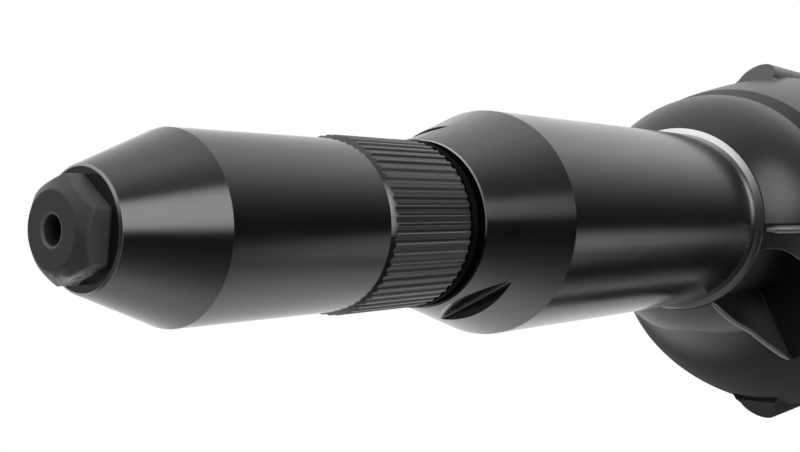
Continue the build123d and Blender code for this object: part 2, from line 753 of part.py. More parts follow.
def make_motor_shaft():
    """Motor shaft with the fast pinion cut on its front end."""
    space_down = 270 + 180 / PINION_TEETH
    pinion = section_bar(
        gear_section(PINION_TEETH, FAST_MODULE, space_down), X_FAST_GEAR, X_FAST_GEAR_END, z=MOTOR_Z
    )
    neck = rod(X_FAST_GEAR_END, X_FRONT_BEARING, MOTOR_SHAFT_R - 2 * GAP, z=MOTOR_Z)
    shaft = rod(X_FRONT_BEARING, X_REAR_BEARING, MOTOR_SHAFT_R, z=MOTOR_Z)
    tail = rod(X_REAR_BEARING, X_SHAFT_END, MOTOR_TAIL_R, z=MOTOR_Z)
    return pinion + neck + shaft + tail


# Gear case: a domed neck that swells into a round top, and a wider rounded bottom set lower, as the gears need
def make_gear_case():
    outside = case_top() + case_bottom()
    for pocket in case_pockets():
        outside = outside - pocket
    front = X_CASE + LUG_FRONT
    outside = outside + (lugs(front, X_PLATE) - lug_slants(front))
    barrel_seat = rod(X_CASE, X_BARREL_END, BARREL_THREAD_R)
    passage = rod(X_BARREL_END, X_THRUST, DRAW_TUBE_R + 2 * GAP)
    thrust_seat = rod(X_THRUST, X_CASE_ROOM, THRUST_R)
    lay_seat = rod(X_CASE_ROOM - LAY_FRONT_BUSH_LENGTH, X_CASE_ROOM, LAY_FRONT_BUSH_R, z=LAY_Z)
    room = rod(X_CASE_ROOM, X_PLATE, CASE_ROOM_R) + rod(X_CASE_ROOM, X_PLATE, LAY_ROOM_R, z=LAY_Z)
    screw_start = X_PLATE - CASE_SCREW_LENGTH
    holes = lug_holes(screw_start, X_PLATE, CASE_SCREW_R)
    return outside - [barrel_seat, passage, thrust_seat, lay_seat, room] - holes


def case_profile():
    """Outline of the round top: domed neck with a rim, a valley behind it and the swelling shoulder."""
    neck_end = X_CASE + NECK_LENGTH
    rim_end = neck_end + NECK_RIM_LENGTH
    shoulder = X_CASE + SHOULDER_X
    cone_end = X_CASE + CASE_CONE_LENGTH
    rim_mid = (neck_end + NECK_RIM_MID_X, NECK_R - NECK_RIM_MID_DROP)
    valley = (rim_end, NECK_R - NECK_RIM_DROP)
    return make_face([
        Line((X_CASE, 0), (X_CASE, NECK_FACE_R)),
        ThreePointArc((X_CASE, NECK_FACE_R), (X_CASE + NECK_MID_X, NECK_MID_R), (neck_end, NECK_R)),
        ThreePointArc((neck_end, NECK_R), rim_mid, valley),
        Line(valley, (shoulder, SHOULDER_R)),
        ThreePointArc((shoulder, SHOULDER_R), (X_CASE + CASE_TOP_MID_X, CASE_TOP_MID_R), (cone_end, CASE_TOP_R)),
        Line((cone_end, CASE_TOP_R), (X_PLATE, CASE_TOP_R)),
        Line((X_PLATE, CASE_TOP_R), (X_PLATE, 0)),
        Line((X_PLATE, 0), (X_CASE, 0)),
    ])


def case_top():
    """The round top, whose lower sides lean inwards from a crease on each side."""
    profile = case_profile()
    body = revolve(Plane.XZ * profile, Axis.X)
    lean = math.radians(CREASE_TILT)
    depth = 2 * CASE_TOP_R
    level = Plane((0, 0, CREASE_Z), x_dir=(1, 0, 0), z_dir=(0, 0, -1))
    kept = extrude(level * profile, depth / math.cos(lean), dir=(0, math.sin(lean), -math.cos(lean)))
    shaved = block(X_CASE, X_PLATE, -depth, 0, CREASE_Z - depth, CREASE_Z) - kept
    body = body - shaved - mirror(shaved, about=Plane.XZ)
    neck_end = X_CASE + NECK_LENGTH
    level_edges = body.edges().filter_by(lambda e: abs(e.center().Z - CREASE_Z) < GAP and e.center().X < neck_end)
    creases = level_edges.filter_by(lambda e: abs(e.center().Y) > NECK_FACE_R)
    return fillet(creases, CREASE_ROUND)


def case_bottom():
    """The wider bottom, round at the front like a bowl, around the lay shaft."""
    cone_end = X_CASE + CASE_CONE_LENGTH
    mid = (X_CASE + CASE_LOW_MID_X, CASE_LOW_MID_R)
    profile = make_face([
        Line((X_CASE, 0), (X_CASE, CASE_LOW_FRONT_R)),
        ThreePointArc((X_CASE, CASE_LOW_FRONT_R), mid, (cone_end, CASE_LOW_R)),
        Line((cone_end, CASE_LOW_R), (X_PLATE, CASE_LOW_R)),
        Line((X_PLATE, CASE_LOW_R), (X_PLATE, 0)),
        Line((X_PLATE, 0), (X_CASE, 0)),
    ])
    return Pos(0, 0, -CASE_LOW_DROP) * revolve(Plane.XZ * profile, Axis.X)


def case_pockets():
    """A deep slanted recess on each side behind the ring, between the bottom rib and the side wall."""
    recess = Pos(POCKET_LENGTH / 2 - POCKET_CORNER_R, POCKET_WIDTH / 2) * RectangleRounded(
        POCKET_LENGTH + 2 * POCKET_CORNER_R, POCKET_WIDTH, POCKET_CORNER_R
    )
    placed = Pos(POCKET_EDGE_Y, POCKET_EDGE_Z) * Rot(0, 0, POCKET_TURN - 90) * recess
    right = section_bar(placed, X_CASE, X_CASE + POCKET_FLOOR) - rod(X_CASE, X_CASE + POCKET_FLOOR, POCKET_BOSS_R)
    return right, mirror(right, about=Plane.XZ)


# Mid plate: closes the gear case and carries the nut's rear bearing on a forward boss
def make_mid_plate():
    plate = egg_bar(X_PLATE, X_MOTOR_HOUSING) + lugs(X_PLATE, X_MOTOR_HOUSING)
    boss = rod(X_NUT_JOURNAL + GAP, X_PLATE, BOSS_R)
    bearing_end = X_NUT_JOURNAL + 2 * GAP + NUT_BEARING_LENGTH
    seat = rod(X_NUT_JOURNAL + GAP, bearing_end, NUT_BEARING_R)
    well = rod(bearing_end, X_PLATE, NUT_JOURNAL_R + TOOTH_ROOM)
    lay_hole = rod(X_PLATE, X_MOTOR_HOUSING, LAY_REAR_BUSH_R, z=LAY_Z)
    return plate + boss - [seat, well, lay_hole] - lug_holes(X_PLATE, X_MOTOR_HOUSING, CASE_SCREW_R)


# Motor housing: egg-shaped flange with lugs, tapering into a round shell with air slots
def make_motor_housing():
    egg_end = X_MOTOR_HOUSING + EGG_LENGTH
    taper_end = egg_end + TAPER_LENGTH
    outside = egg_bar(X_MOTOR_HOUSING, egg_end) + lugs(X_MOTOR_HOUSING, X_MOTOR_HOUSING + FLANGE_LENGTH)
    for r, z in ((CASE_TOP_R, 0.0), (CASE_LOW_R, -CASE_LOW_DROP)):
        front = Plane((egg_end, 0, z), x_dir=(0, 1, 0), z_dir=(1, 0, 0)) * Circle(r)
        back = Plane((taper_end, 0, MOTOR_Z), x_dir=(0, 1, 0), z_dir=(1, 0, 0)) * Circle(MOTOR_SHELL_R)
        outside = outside + loft([front, back], ruled=True)
    outside = outside + rod(taper_end, X_CUP, MOTOR_SHELL_R, z=MOTOR_Z)
    lay_room_r = FAST_MODULE * (GEAR_TEETH / 2 + ADDENDUM) + TOOTH_ROOM
    pinion_room_r = FAST_MODULE * (PINION_TEETH / 2 + ADDENDUM) + TOOTH_ROOM
    gear_room = rod(X_MOTOR_HOUSING, X_BULKHEAD, lay_room_r, z=LAY_Z)
    pinion_room = rod(X_MOTOR_HOUSING, X_FRONT_BEARING, pinion_room_r, z=MOTOR_Z)
    bearing_seat = rod(X_FRONT_BEARING, X_FRONT_BEARING_END, FRONT_BEARING_R, z=MOTOR_Z)
    motor_room = rod(X_FRONT_BEARING_END, X_CUP, MOTOR_BORE_R, z=MOTOR_Z)
    rooms = [gear_room, pinion_room, bearing_seat, motor_room]
    holes = lug_holes(X_MOTOR_HOUSING, X_MOTOR_HOUSING + FLANGE_LENGTH, CASE_SCREW_R)
    heads = lug_holes(X_MOTOR_HOUSING + FLANGE_LENGTH, taper_end, CASE_SCREW_HEAD_R + GAP)
    return outside - rooms - holes - heads - air_slots(X_FAN - GAP)


def air_slots(x0):
    """A row of slots through the shell on each side."""
    slots = []
    for side in (0, 180):
        for place in range(VENT_COUNT):
            turn = side + VENT_PITCH * (place - (VENT_COUNT - 1) / 2)
            slot = block(x0, x0 + VENT_LENGTH, MOTOR_BORE_R - GAP, CASE_LOW_R, -VENT_WIDTH / 2, VENT_WIDTH / 2)
            slots.append(Pos(0, 0, MOTOR_Z) * Rot(turn, 0, 0) * slot)
    return slots


def make_armature_core():
    core = rod(X_CORE, X_CORE_END, CORE_R, z=MOTOR_Z) - rod(X_CORE, X_CORE_END, MOTOR_SHAFT_R, z=MOTOR_Z)
    slots = []
    for slot in range(CORE_SLOTS):
        y, z = polar(CORE_R - CORE_SLOT_R / 2, 360 * slot / CORE_SLOTS)
        slots.append(rod(X_CORE, X_CORE_END, CORE_SLOT_R, y=y, z=MOTOR_Z + z))
    return core - slots


def make_armature_winding():
    """The wound heads at both ends of the core."""
    r = CORE_R - CORE_SLOT_R / 2
    front = tube(X_CORE - WINDING_LENGTH, X_CORE, r, MOTOR_SHAFT_R, z=MOTOR_Z)
    rear = tube(X_CORE_END, X_CORE_END + WINDING_LENGTH, r, MOTOR_SHAFT_R, z=MOTOR_Z)
    return group((front, rear))


def make_commutator():
    body = tube(X_COMMUTATOR, X_COMMUTATOR_END, COMMUTATOR_R, MOTOR_SHAFT_R, z=MOTOR_Z)
    slits = []
    for bar in range(COMMUTATOR_BARS):
        half = COMMUTATOR_SLIT / 2
        slit = block(X_COMMUTATOR, X_COMMUTATOR_END, COMMUTATOR_R - COMMUTATOR_SLIT_DEPTH, COMMUTATOR_R, -half, half)
        slits.append(Pos(0, 0, MOTOR_Z) * Rot(360 * bar / COMMUTATOR_BARS, 0, 0) * slit)
    return body - slits


def make_cooling_fan():
    """Flat plate with straight radial blades on its front."""
    end = X_FAN + FAN_LENGTH
    plate = tube(end - 2 * FAN_BLADE_THICKNESS, end, FAN_R, MOTOR_SHAFT_R, z=MOTOR_Z)
    hub = tube(X_FAN, end, FAN_HUB_R, MOTOR_SHAFT_R, z=MOTOR_Z)
    half = FAN_BLADE_THICKNESS / 2
    blades = []
    for blade in range(FAN_BLADES):
        arm = block(X_FAN, end - FAN_BLADE_THICKNESS, FAN_HUB_R - GAP, FAN_R - FAN_BLADE_THICKNESS, -half, half)
        blades.append(Pos(0, 0, MOTOR_Z) * Rot(360 * blade / FAN_BLADES, 0, 0) * arm)
    return plate + hub + blades


def pole_zone(x0, x1, r):
    """The two opposite sectors that hold the field poles, above and below the armature."""
    reach = 2 * r
    side = reach * math.tan(math.radians(POLE_HALF_ANGLE))
    upper = Polygon((0, 0), (side, reach), (-side, reach), align=None)
    lower = Polygon((0, 0), (-side, -reach), (side, -reach), align=None)
    zones = section_bar(upper, x0, x1, z=MOTOR_Z) + section_bar(lower, x0, x1, z=MOTOR_Z)
    return zones & rod(x0, x1, r, z=MOTOR_Z)


def make_stator():
    yoke = tube(X_CORE, X_CORE_END, MOTOR_BORE_R, MOTOR_BORE_R - YOKE_THICKNESS, z=MOTOR_Z)
    poles = pole_zone(X_CORE, X_CORE_END, MOTOR_BORE_R - YOKE_THICKNESS)
    return yoke + poles - rod(X_CORE, X_CORE_END, CORE_R + AIR_GAP, z=MOTOR_Z)


def make_field_coils():
    """Two coils in the spaces between the poles, standing out at both ends of the stator."""
    x0 = X_CORE - COIL_OVERHANG
    x1 = X_CORE_END + COIL_OVERHANG
    space = tube(x0, x1, MOTOR_BORE_R - YOKE_THICKNESS - GAP, CORE_R + AIR_GAP + GAP, z=MOTOR_Z)
    space = space - pole_zone(x0, x1, MOTOR_BORE_R)
    return group(space.solids())


def make_brush_holder():
    inner = COMMUTATOR_R + BRUSH_HOLDER_GAP
    holder = cross_rod(brush_x(), MOTOR_Z, -cap_seat_y(), -inner, BRUSH_HOLDER_R)
    return holder - brush_block(inner, cap_seat_y())


def brush_x():
    return (X_COMMUTATOR + X_COMMUTATOR_END) / 2


def cap_seat_y():
    """Where the brush cap's inner face lies, measured from the middle plane."""
    return MOTOR_SHELL_R - BRUSH_CAP_LENGTH + BRUSH_CAP_PROUD


def brush_block(y0, y1):
    x = brush_x()
    return block(
        x - BRUSH_WIDTH / 2, x + BRUSH_WIDTH / 2, -y1, -y0, MOTOR_Z - BRUSH_DEPTH / 2, MOTOR_Z + BRUSH_DEPTH / 2
    )


def make_brush():
    return brush_block(COMMUTATOR_R + GAP, cap_seat_y() - BRUSH_SPRING_ROOM)


def make_brush_cap():
    y0 = -cap_seat_y() - BRUSH_CAP_LENGTH
    cap = cross_rod(brush_x(), MOTOR_Z, y0, -cap_seat_y(), BRUSH_CAP_R)
    x = brush_x()
    half = BRUSH_CAP_SLOT / 2
    slot = block(x - BRUSH_CAP_R, x + BRUSH_CAP_R, y0, y0 + BRUSH_CAP_LENGTH / 2, MOTOR_Z - half, MOTOR_Z + half)
    return cap - slot


def cubic(values, t):
    """Value at t of the cubic curve through four values at 0, 1, 2 and 3."""
    total = 0
    for index, value in enumerate(values):
        others = [other for other in range(len(values)) if other != index]
        total += value * math.prod((t - other) / (index - other) for other in others)
    return total


def grip_places():
    """Height, middle, depth and width of the grip from its root to its foot."""
    keys = (
        (GRIP_TOP_Z, GRIP_WAIST_Z, GRIP_PALM_Z, GRIP_END_Z + GRIP_FOOT_HEIGHT),
        (GRIP_TOP_X, GRIP_WAIST_X, GRIP_PALM_X, GRIP_END_X),
        (GRIP_TOP_DEPTH, GRIP_WAIST_DEPTH, GRIP_PALM_DEPTH, GRIP_END_DEPTH),
        (GRIP_TOP_WIDTH, GRIP_WAIST_WIDTH, GRIP_PALM_WIDTH, GRIP_END_WIDTH),
    )
    last = len(keys) - 1
    return [[cubic(values, last * step / GRIP_STEPS) for values in keys] for step in range(GRIP_STEPS + 1)]


def grip_section(place, inset):
    z, x, depth, width = place
    return Plane((x, 0, z)) * RectangleRounded(depth - 2 * inset, width - 2 * inset, GRIP_CORNER_R - inset)


def grip_form(inset):
    """The grip's outside, or the room inside it, with a drawn-in foot."""
    sections = [grip_section(place, inset) for place in grip_places()]
    foot = [GRIP_END_Z] + grip_places()[-1][1:]
    return loft(sections + [grip_section(foot, inset + GRIP_FOOT_INSET)], ruled=True)


def grip_at(z):
    """Middle, depth and width of the grip at a height, on straight lines between its sections."""
    places = grip_places()
    for above, below in zip(places, places[1:]):
        if above[0] >= z >= below[0]:
            share = (z - above[0]) / (below[0] - above[0])
            return [a + (b - a) * share for a, b in zip(above[1:], below[1:])]
    return places[0][1:]


def grip_front_x():
    """Front of the grip at the trigger's height."""
    x, depth, width = grip_at(trigger_mid_z())
    return x - depth / 2


def trigger_mid_z():
    return TRIGGER_TOP_Z - TRIGGER_HEIGHT / 2


def trigger_back_x():
    return grip_front_x() + TRIGGER_BODY


def switch_x():
    return trigger_back_x() + TRIGGER_TRAVEL + SWITCH_GAP


def grip_half_width(z):
    x, depth, width = grip_at(z)
    return width / 2


# Handle: a rear cup over the commutator and a hollow pistol grip, split on the middle plane
def make_handle():
    cup = rod(X_CUP, X_CUP_END, MOTOR_SHELL_R, z=MOTOR_Z)
    cup = fillet(cup.edges().group_by(Axis.X)[-1], CUP_ROUND)
    saddle = rod(X_CUP - 3 * GRIP_TOP_DEPTH, X_CUP, MOTOR_SHELL_R, z=MOTOR_Z)
    outside = cup + (grip_form(0) - saddle)
    cup_room = rod(X_CUP, X_CUP_END - CUP_WALL, MOTOR_BORE_R, z=MOTOR_Z)
    cup_room = chamfer(cup_room.edges().group_by(Axis.X)[-1], CUP_ROUND - CUP_WALL)
    below_cup = block(
        GRIP_TOP_X - 2 * GRIP_TOP_DEPTH, GRIP_END_X + GRIP_END_DEPTH, -GRIP_TOP_WIDTH, GRIP_TOP_WIDTH,
        GRIP_END_Z + GRIP_WALL, GRIP_ROOM_TOP_Z,
    )
    grip_room = grip_form(GRIP_WALL) & below_cup
    wire_way = block(
        X_CUP + GRIP_WALL, X_CUP_END - 3 * GRIP_WALL, -WIRE_WAY_WIDTH / 2, WIRE_WAY_WIDTH / 2,
        GRIP_ROOM_TOP_Z - GAP, MOTOR_Z - MOTOR_BORE_R + GRIP_WALL,
    )
    shell = outside - cup_room - grip_room - wire_way
    shell = shell + tube(X_REAR_BEARING, X_CUP_END - CUP_WALL / 2, TAIL_BOSS_R, REAR_BEARING_R, z=MOTOR_Z)
    for x, z in HANDLE_SCREWS:
        shell = shell + (cross_rod(x, z, -room_half(z), room_half(z), HANDLE_SCREW_BOSS_R) & outside)
    return shell - handle_cuts()


def room_half(z):
    """Half width that a screw boss spans inside the handle."""
    if z > 0:
        return math.sqrt(MOTOR_BORE_R**2 - (z - MOTOR_Z) ** 2) + GAP
    return grip_half_width(z) - GRIP_WALL / 2


def handle_cuts():
    """Openings for the trigger, slider, lock button, brush caps, inlet and screws."""
    half = TRIGGER_WIDTH / 2 + GAP
    top = TRIGGER_TOP_Z + GAP
    low = TRIGGER_TOP_Z - TRIGGER_HEIGHT - GAP
    trigger_way = block(grip_front_x() - TRIGGER_REACH, trigger_back_x(), -half, half, low, top)
    wide = SLIDER_LENGTH / 2 + GAP
    high = SLIDER_HEIGHT / 2 + GAP
    slider_way = block(
        SLIDER_X - wide, SLIDER_X + wide, -GRIP_TOP_WIDTH, GRIP_TOP_WIDTH, SLIDER_Z - high, SLIDER_Z + high
    )
    lock_way = cross_rod(LOCK_X, LOCK_Z, -GRIP_TOP_WIDTH, 0, LOCK_R + GAP)
    cuts = [trigger_way, slider_way, lock_way]
    for side in (-1, 1):
        seat = cross_rod(brush_x(), MOTOR_Z, cap_seat_y(), MOTOR_SHELL_R + GRIP_WALL, BRUSH_CAP_R)
        way = cross_rod(brush_x(), MOTOR_Z, COMMUTATOR_R, MOTOR_SHELL_R + GRIP_WALL, BRUSH_HOLDER_R)
        cuts += [seat, way] if side > 0 else [mirror(seat, about=Plane.XZ), mirror(way, about=Plane.XZ)]
    inlet = Pos(GRIP_END_X, 0, GRIP_END_Z) * Cylinder(INLET_R, 2 * INLET_DEPTH)
    cuts.append(inlet)
    for x, z in HANDLE_SCREWS:
        cuts.append(cross_rod(x, z, -HANDLE_SCREW_GRIP, HANDLE_SCREW_GRIP, HANDLE_SCREW_R))
        cuts.append(cross_rod(x, z, head_seat_y(z), MOTOR_SHELL_R + GRIP_WALL, HANDLE_SCREW_HEAD_R + GAP))
        cuts.append(cross_rod(x, z, 0, head_seat_y(z), HANDLE_SCREW_R))
    return cuts


def head_seat_y(z):
    """Height of the seat of a handle screw's head above the middle plane."""
    return room_half(z) - HANDLE_SCREW_SUNK


def make_handle_side(handle, side):
    reach = -2 * GRIP_END_Z
    near = block(X_CUP - reach, X_CUP_END + reach, min(0, side * reach), max(0, side * reach), -reach, reach)
    return handle & near


def make_handle_screws():
    screws = []
    for x, z in HANDLE_SCREWS:
        seat = head_seat_y(z)
        shank = cross_rod(x, z, -HANDLE_SCREW_GRIP, seat, HANDLE_SCREW_R)
        head = cross_rod(x, z, seat, seat + HANDLE_SCREW_HEAD, HANDLE_SCREW_HEAD_R)
        screws.append(shank + head)
    return group(screws)


def make_case_screws():
    screws = []
    x0 = X_PLATE - CASE_SCREW_LENGTH + CASE_SCREW_TIP_GAP
    x1 = X_MOTOR_HOUSING + FLANGE_LENGTH
    for y, z, turn in lug_places():
        shank = rod(x0, x1, CASE_SCREW_R, y=y, z=z)
        head = rod(x1, x1 + CASE_SCREW_HEAD, CASE_SCREW_HEAD_R, y=y, z=z)
        x2 = x1 + CASE_SCREW_HEAD
        socket = section_bar(hexagon(CASE_SCREW_SOCKET_AF), x2 - CASE_SCREW_SOCKET_DEPTH, x2, y=y, z=z)
        screws.append(shank + head - socket)
    return group(screws)


# Trigger: a finger hollow in front and a wider lip inside that keeps it in the handle
def make_trigger():
    front = grip_front_x() - TRIGGER_REACH
    back = trigger_back_x()
    low = TRIGGER_TOP_Z - TRIGGER_HEIGHT
    middle = trigger_mid_z()
    edges = [
        Line((back, low), (back, TRIGGER_TOP_Z)),
        Line((back, TRIGGER_TOP_Z), (front, TRIGGER_TOP_Z)),
        ThreePointArc((front, TRIGGER_TOP_Z), (front + TRIGGER_HOLLOW, middle), (front, low)),
        Line((front, low), (back, low)),
    ]
    half = TRIGGER_WIDTH / 2
    blank = extrude(Plane.XZ * make_face(edges), half, both=True)
    long_edges = blank.edges().filter_by(lambda e: e.center().X < back - GAP and abs(e.center().Y) > half - GAP)
    body = fillet(long_edges, TRIGGER_ROUND)
    lip_half = half + TRIGGER_LIP
    lip = block(back - TRIGGER_LIP_LENGTH, back, -lip_half, lip_half, low, TRIGGER_TOP_Z)
    return body + lip


def make_switch():
    half = SWITCH_WIDTH / 2
    x0 = switch_x()
    body = block(x0, x0 + SWITCH_LENGTH, -half, half, TRIGGER_TOP_Z - TRIGGER_HEIGHT, TRIGGER_TOP_Z)
    return fillet(body.edges().filter_by(Axis.Y), SWITCH_ROUND)


def make_reverse_slider():
    half = grip_half_width(SLIDER_Z) + SLIDER_PROUD
    bar = block(
        SLIDER_X - SLIDER_LENGTH / 2, SLIDER_X + SLIDER_LENGTH / 2, -half, half,
        SLIDER_Z - SLIDER_HEIGHT / 2, SLIDER_Z + SLIDER_HEIGHT / 2,
    )
    return fillet(bar.edges().filter_by(Axis.Y) + bar.faces().sort_by(Axis.Y)[0].edges()
                  + bar.faces().sort_by(Axis.Y)[-1].edges(), SLIDER_ROUND)


def make_lock_button():
    outer = grip_half_width(LOCK_Z)
    stem = cross_rod(LOCK_X, LOCK_Z, -outer - LOCK_PROUD, -outer + 2 * GRIP_WALL, LOCK_R)
    return fillet(stem.edges().group_by(Axis.Y)[0], LOCK_ROUND)


def make_cord_inlet():
    top = GRIP_END_Z + INLET_DEPTH
    neck = Pos(GRIP_END_X, 0, GRIP_END_Z) * Cylinder(INLET_R, INLET_DEPTH, align=BASE)
    flange_low = GRIP_END_Z - INLET_FLANGE
    flange = Pos(GRIP_END_X, 0, flange_low) * Cylinder(INLET_FLANGE_R, INLET_FLANGE, align=BASE)
    hole = Pos(GRIP_END_X, 0, flange_low) * Cylinder(INLET_HOLE_R, top - flange_low, align=BASE)
    return neck + flange - hole


pieces["nosepiece"] = make_nosepiece()
pieces["front_sleeve"] = make_front_sleeve()
pieces["lock_ring"] = make_lock_ring()
pieces["ring_seal"] = make_ring_seal()
pieces["rear_sleeve"] = make_rear_sleeve()
pieces["barrel_ring"] = make_barrel_ring()
pieces["jaw_case"] = make_jaw_case()
for index in range(JAW_COUNT):
    pieces[f"jaw_{index + 1}"] = make_jaw(index)
pieces["jaw_pusher"] = make_jaw_pusher()
pieces["jaw_spring"] = coil_spring(
    X_PUSHER_HEAD_END, X_SPRING_SEAT, JAW_SPRING_R, JAW_SPRING_WIRE_R, JAW_SPRING_TURNS
)
pieces["draw_tube"] = make_draw_tube()
pieces["lead_screw"] = make_lead_screw()
pieces["guide_bush"] = make_guide_bush()
pieces["thrust_bearing"] = make_thrust_bearing()
pieces["drive_nut"] = make_drive_nut()
pieces["nut_gear"] = make_nut_gear()
pieces["nut_bearing"] = sealed_bearing(
    X_NUT_JOURNAL + 2 * GAP, X_NUT_JOURNAL + 2 * GAP + NUT_BEARING_LENGTH, NUT_BEARING_R, NUT_JOURNAL_R + RUN
)
pieces["lay_shaft"] = make_lay_shaft()
pieces["lay_gear"] = make_lay_gear()
pieces["lay_front_bush"] = tube(
    X_CASE_ROOM - LAY_FRONT_BUSH_LENGTH, X_CASE_ROOM, LAY_FRONT_BUSH_R, LAY_JOURNAL_R + RUN, z=LAY_Z
)
pieces["lay_rear_bush"] = tube(X_PLATE, X_MOTOR_HOUSING, LAY_REAR_BUSH_R, LAY_SHAFT_R + RUN, z=LAY_Z)
pieces["gear_case"] = make_gear_case()
pieces["mid_plate"] = make_mid_plate()
pieces["motor_housing"] = make_motor_housing()
pieces["motor_shaft"] = make_motor_shaft()
pieces["armature_core"] = make_armature_core()
pieces["armature_winding"] = make_armature_winding()
pieces["commutator"] = make_commutator()
pieces["cooling_fan"] = make_cooling_fan()
pieces["motor_front_bearing"] = sealed_bearing(
    X_FRONT_BEARING, X_FRONT_BEARING_END, FRONT_BEARING_R, MOTOR_SHAFT_R + RUN, z=MOTOR_Z
)
pieces["motor_rear_bearing"] = sealed_bearing(
    X_REAR_BEARING, X_SHAFT_END, REAR_BEARING_R, MOTOR_TAIL_R + RUN, z=MOTOR_Z
)
pieces["stator"] = make_stator()
pieces["field_coils"] = make_field_coils()
for name, make in (("brush_holder", make_brush_holder), ("brush", make_brush), ("brush_cap", make_brush_cap)):
    left = make()
    pieces[f"{name}_left"] = left
    pieces[f"{name}_right"] = mirror(left, about=Plane.XZ)
handle = make_handle()
pieces["handle_left"] = make_handle_side(handle, -1)
pieces["handle_right"] = make_handle_side(handle, 1)
pieces["trigger"] = make_trigger()
pieces["trigger_spring"] = coil_spring(
    trigger_back_x(), switch_x(), TRIGGER_SPRING_R, TRIGGER_SPRING_WIRE_R, TRIGGER_SPRING_TURNS, z=trigger_mid_z()
)
pieces["switch"] = make_switch()
pieces["reverse_slider"] = make_reverse_slider()
pieces["lock_button"] = make_lock_button()
pieces["cord_inlet"] = make_cord_inlet()
pieces["case_screws"] = make_case_screws()
pieces["handle_screws"] = make_handle_screws()

for name, piece in pieces.items():
    export_step(piece, f"parts/{name}.step")
print(len(pieces), "pieces written")
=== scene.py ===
import json
import math

import bmesh
import bpy
from mathutils import Matrix, Vector
from mathutils.bvhtree import BVHTree


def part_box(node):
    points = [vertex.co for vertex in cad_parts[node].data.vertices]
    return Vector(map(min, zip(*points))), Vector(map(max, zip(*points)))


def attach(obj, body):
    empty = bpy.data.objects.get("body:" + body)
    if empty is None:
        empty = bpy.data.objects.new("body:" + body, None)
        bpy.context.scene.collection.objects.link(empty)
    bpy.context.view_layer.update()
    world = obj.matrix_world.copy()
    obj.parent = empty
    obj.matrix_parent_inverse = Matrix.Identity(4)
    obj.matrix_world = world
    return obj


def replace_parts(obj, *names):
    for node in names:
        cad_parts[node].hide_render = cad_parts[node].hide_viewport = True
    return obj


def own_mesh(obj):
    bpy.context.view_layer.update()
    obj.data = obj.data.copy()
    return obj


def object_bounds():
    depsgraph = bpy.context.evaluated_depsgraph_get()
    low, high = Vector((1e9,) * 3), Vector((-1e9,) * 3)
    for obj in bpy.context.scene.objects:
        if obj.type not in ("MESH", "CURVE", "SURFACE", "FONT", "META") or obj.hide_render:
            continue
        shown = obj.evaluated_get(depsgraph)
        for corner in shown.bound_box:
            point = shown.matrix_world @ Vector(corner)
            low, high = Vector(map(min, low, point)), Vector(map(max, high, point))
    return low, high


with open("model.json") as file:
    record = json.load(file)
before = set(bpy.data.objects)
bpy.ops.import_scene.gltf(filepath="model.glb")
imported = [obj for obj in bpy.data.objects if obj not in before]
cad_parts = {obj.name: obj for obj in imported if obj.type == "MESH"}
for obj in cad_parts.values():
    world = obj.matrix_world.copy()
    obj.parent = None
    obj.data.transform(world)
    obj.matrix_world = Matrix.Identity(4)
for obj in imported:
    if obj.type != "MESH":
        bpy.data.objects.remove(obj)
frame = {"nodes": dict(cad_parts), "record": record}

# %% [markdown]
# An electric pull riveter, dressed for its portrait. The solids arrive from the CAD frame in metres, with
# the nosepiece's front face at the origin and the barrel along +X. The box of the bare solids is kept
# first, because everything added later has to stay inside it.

MM = 0.001
cad_low, cad_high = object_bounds()
print("solids from", [round(v, 4) for v in cad_low], "to", [round(v, 4) for v in cad_high])

# %% [markdown]
# The portrait is taken from close in front of the nose, a little to its side, so the barrel runs away
# from the viewer and its rings show as narrow ellipses. The camera's place and directions were fitted to
# those ellipses. A focal length of 50 mm on a 36 mm sensor gives the same perspective. The Standard view
# transform shows each tone as it is written.

# %% Camera
CAMERA_AT = Vector((-63.73, -95.38, 1.25)) * MM
CAMERA_RIGHT = Vector((0.62633, -0.77952, -0.00821))
CAMERA_UP = Vector((0.01310, 0.0, 0.99991))
CAMERA_LENS, SENSOR_WIDTH = 49.95, 36.0
CLIP_START, CLIP_END = 0.005, 20.0
camera = bpy.data.objects.new("camera", bpy.data.cameras.new("camera"))
bpy.context.scene.collection.objects.link(camera)
to_viewer = CAMERA_RIGHT.cross(CAMERA_UP)
turn = Matrix((CAMERA_RIGHT, CAMERA_UP, to_viewer)).transposed().to_4x4()
camera.matrix_world = Matrix.Translation(CAMERA_AT) @ turn
camera.data.sensor_width = SENSOR_WIDTH
camera.data.lens = CAMERA_LENS
camera.data.clip_start = CLIP_START
camera.data.clip_end = CLIP_END
bpy.context.scene.camera = camera
bpy.context.scene.view_settings.view_transform = "Standard"
print("camera looks along", [round(-v, 3) for v in to_viewer])

# %% [markdown]
# Every finish is a small node tree around one Principled shader. Building trees by hand takes many lines,
# so one helper adds a node, sets its options and fills its sockets, either with a value or with a link
# from another node's socket. A second one starts a finish: what is the same all over the surface goes
# straight onto the shader, and patterns are laid on Object coordinates, so they stay on a piece that moves.

# %% Node helpers
def add(tree, kind, sockets=None, **options):
    made = tree.nodes.new(kind)
    for key, value in options.items():
        setattr(made, key, value)
    for key, value in (sockets or {}).items():
        if isinstance(value, bpy.types.NodeSocket):
            tree.links.new(value, made.inputs[key])
        else:
            made.inputs[key].default_value = value
    return made


def calc(tree, operation, first, second):
    return add(tree, "ShaderNodeMath", {0: first, 1: second}, operation=operation).outputs[0]


def grey(level):
    return (level, level, level, 1.0)


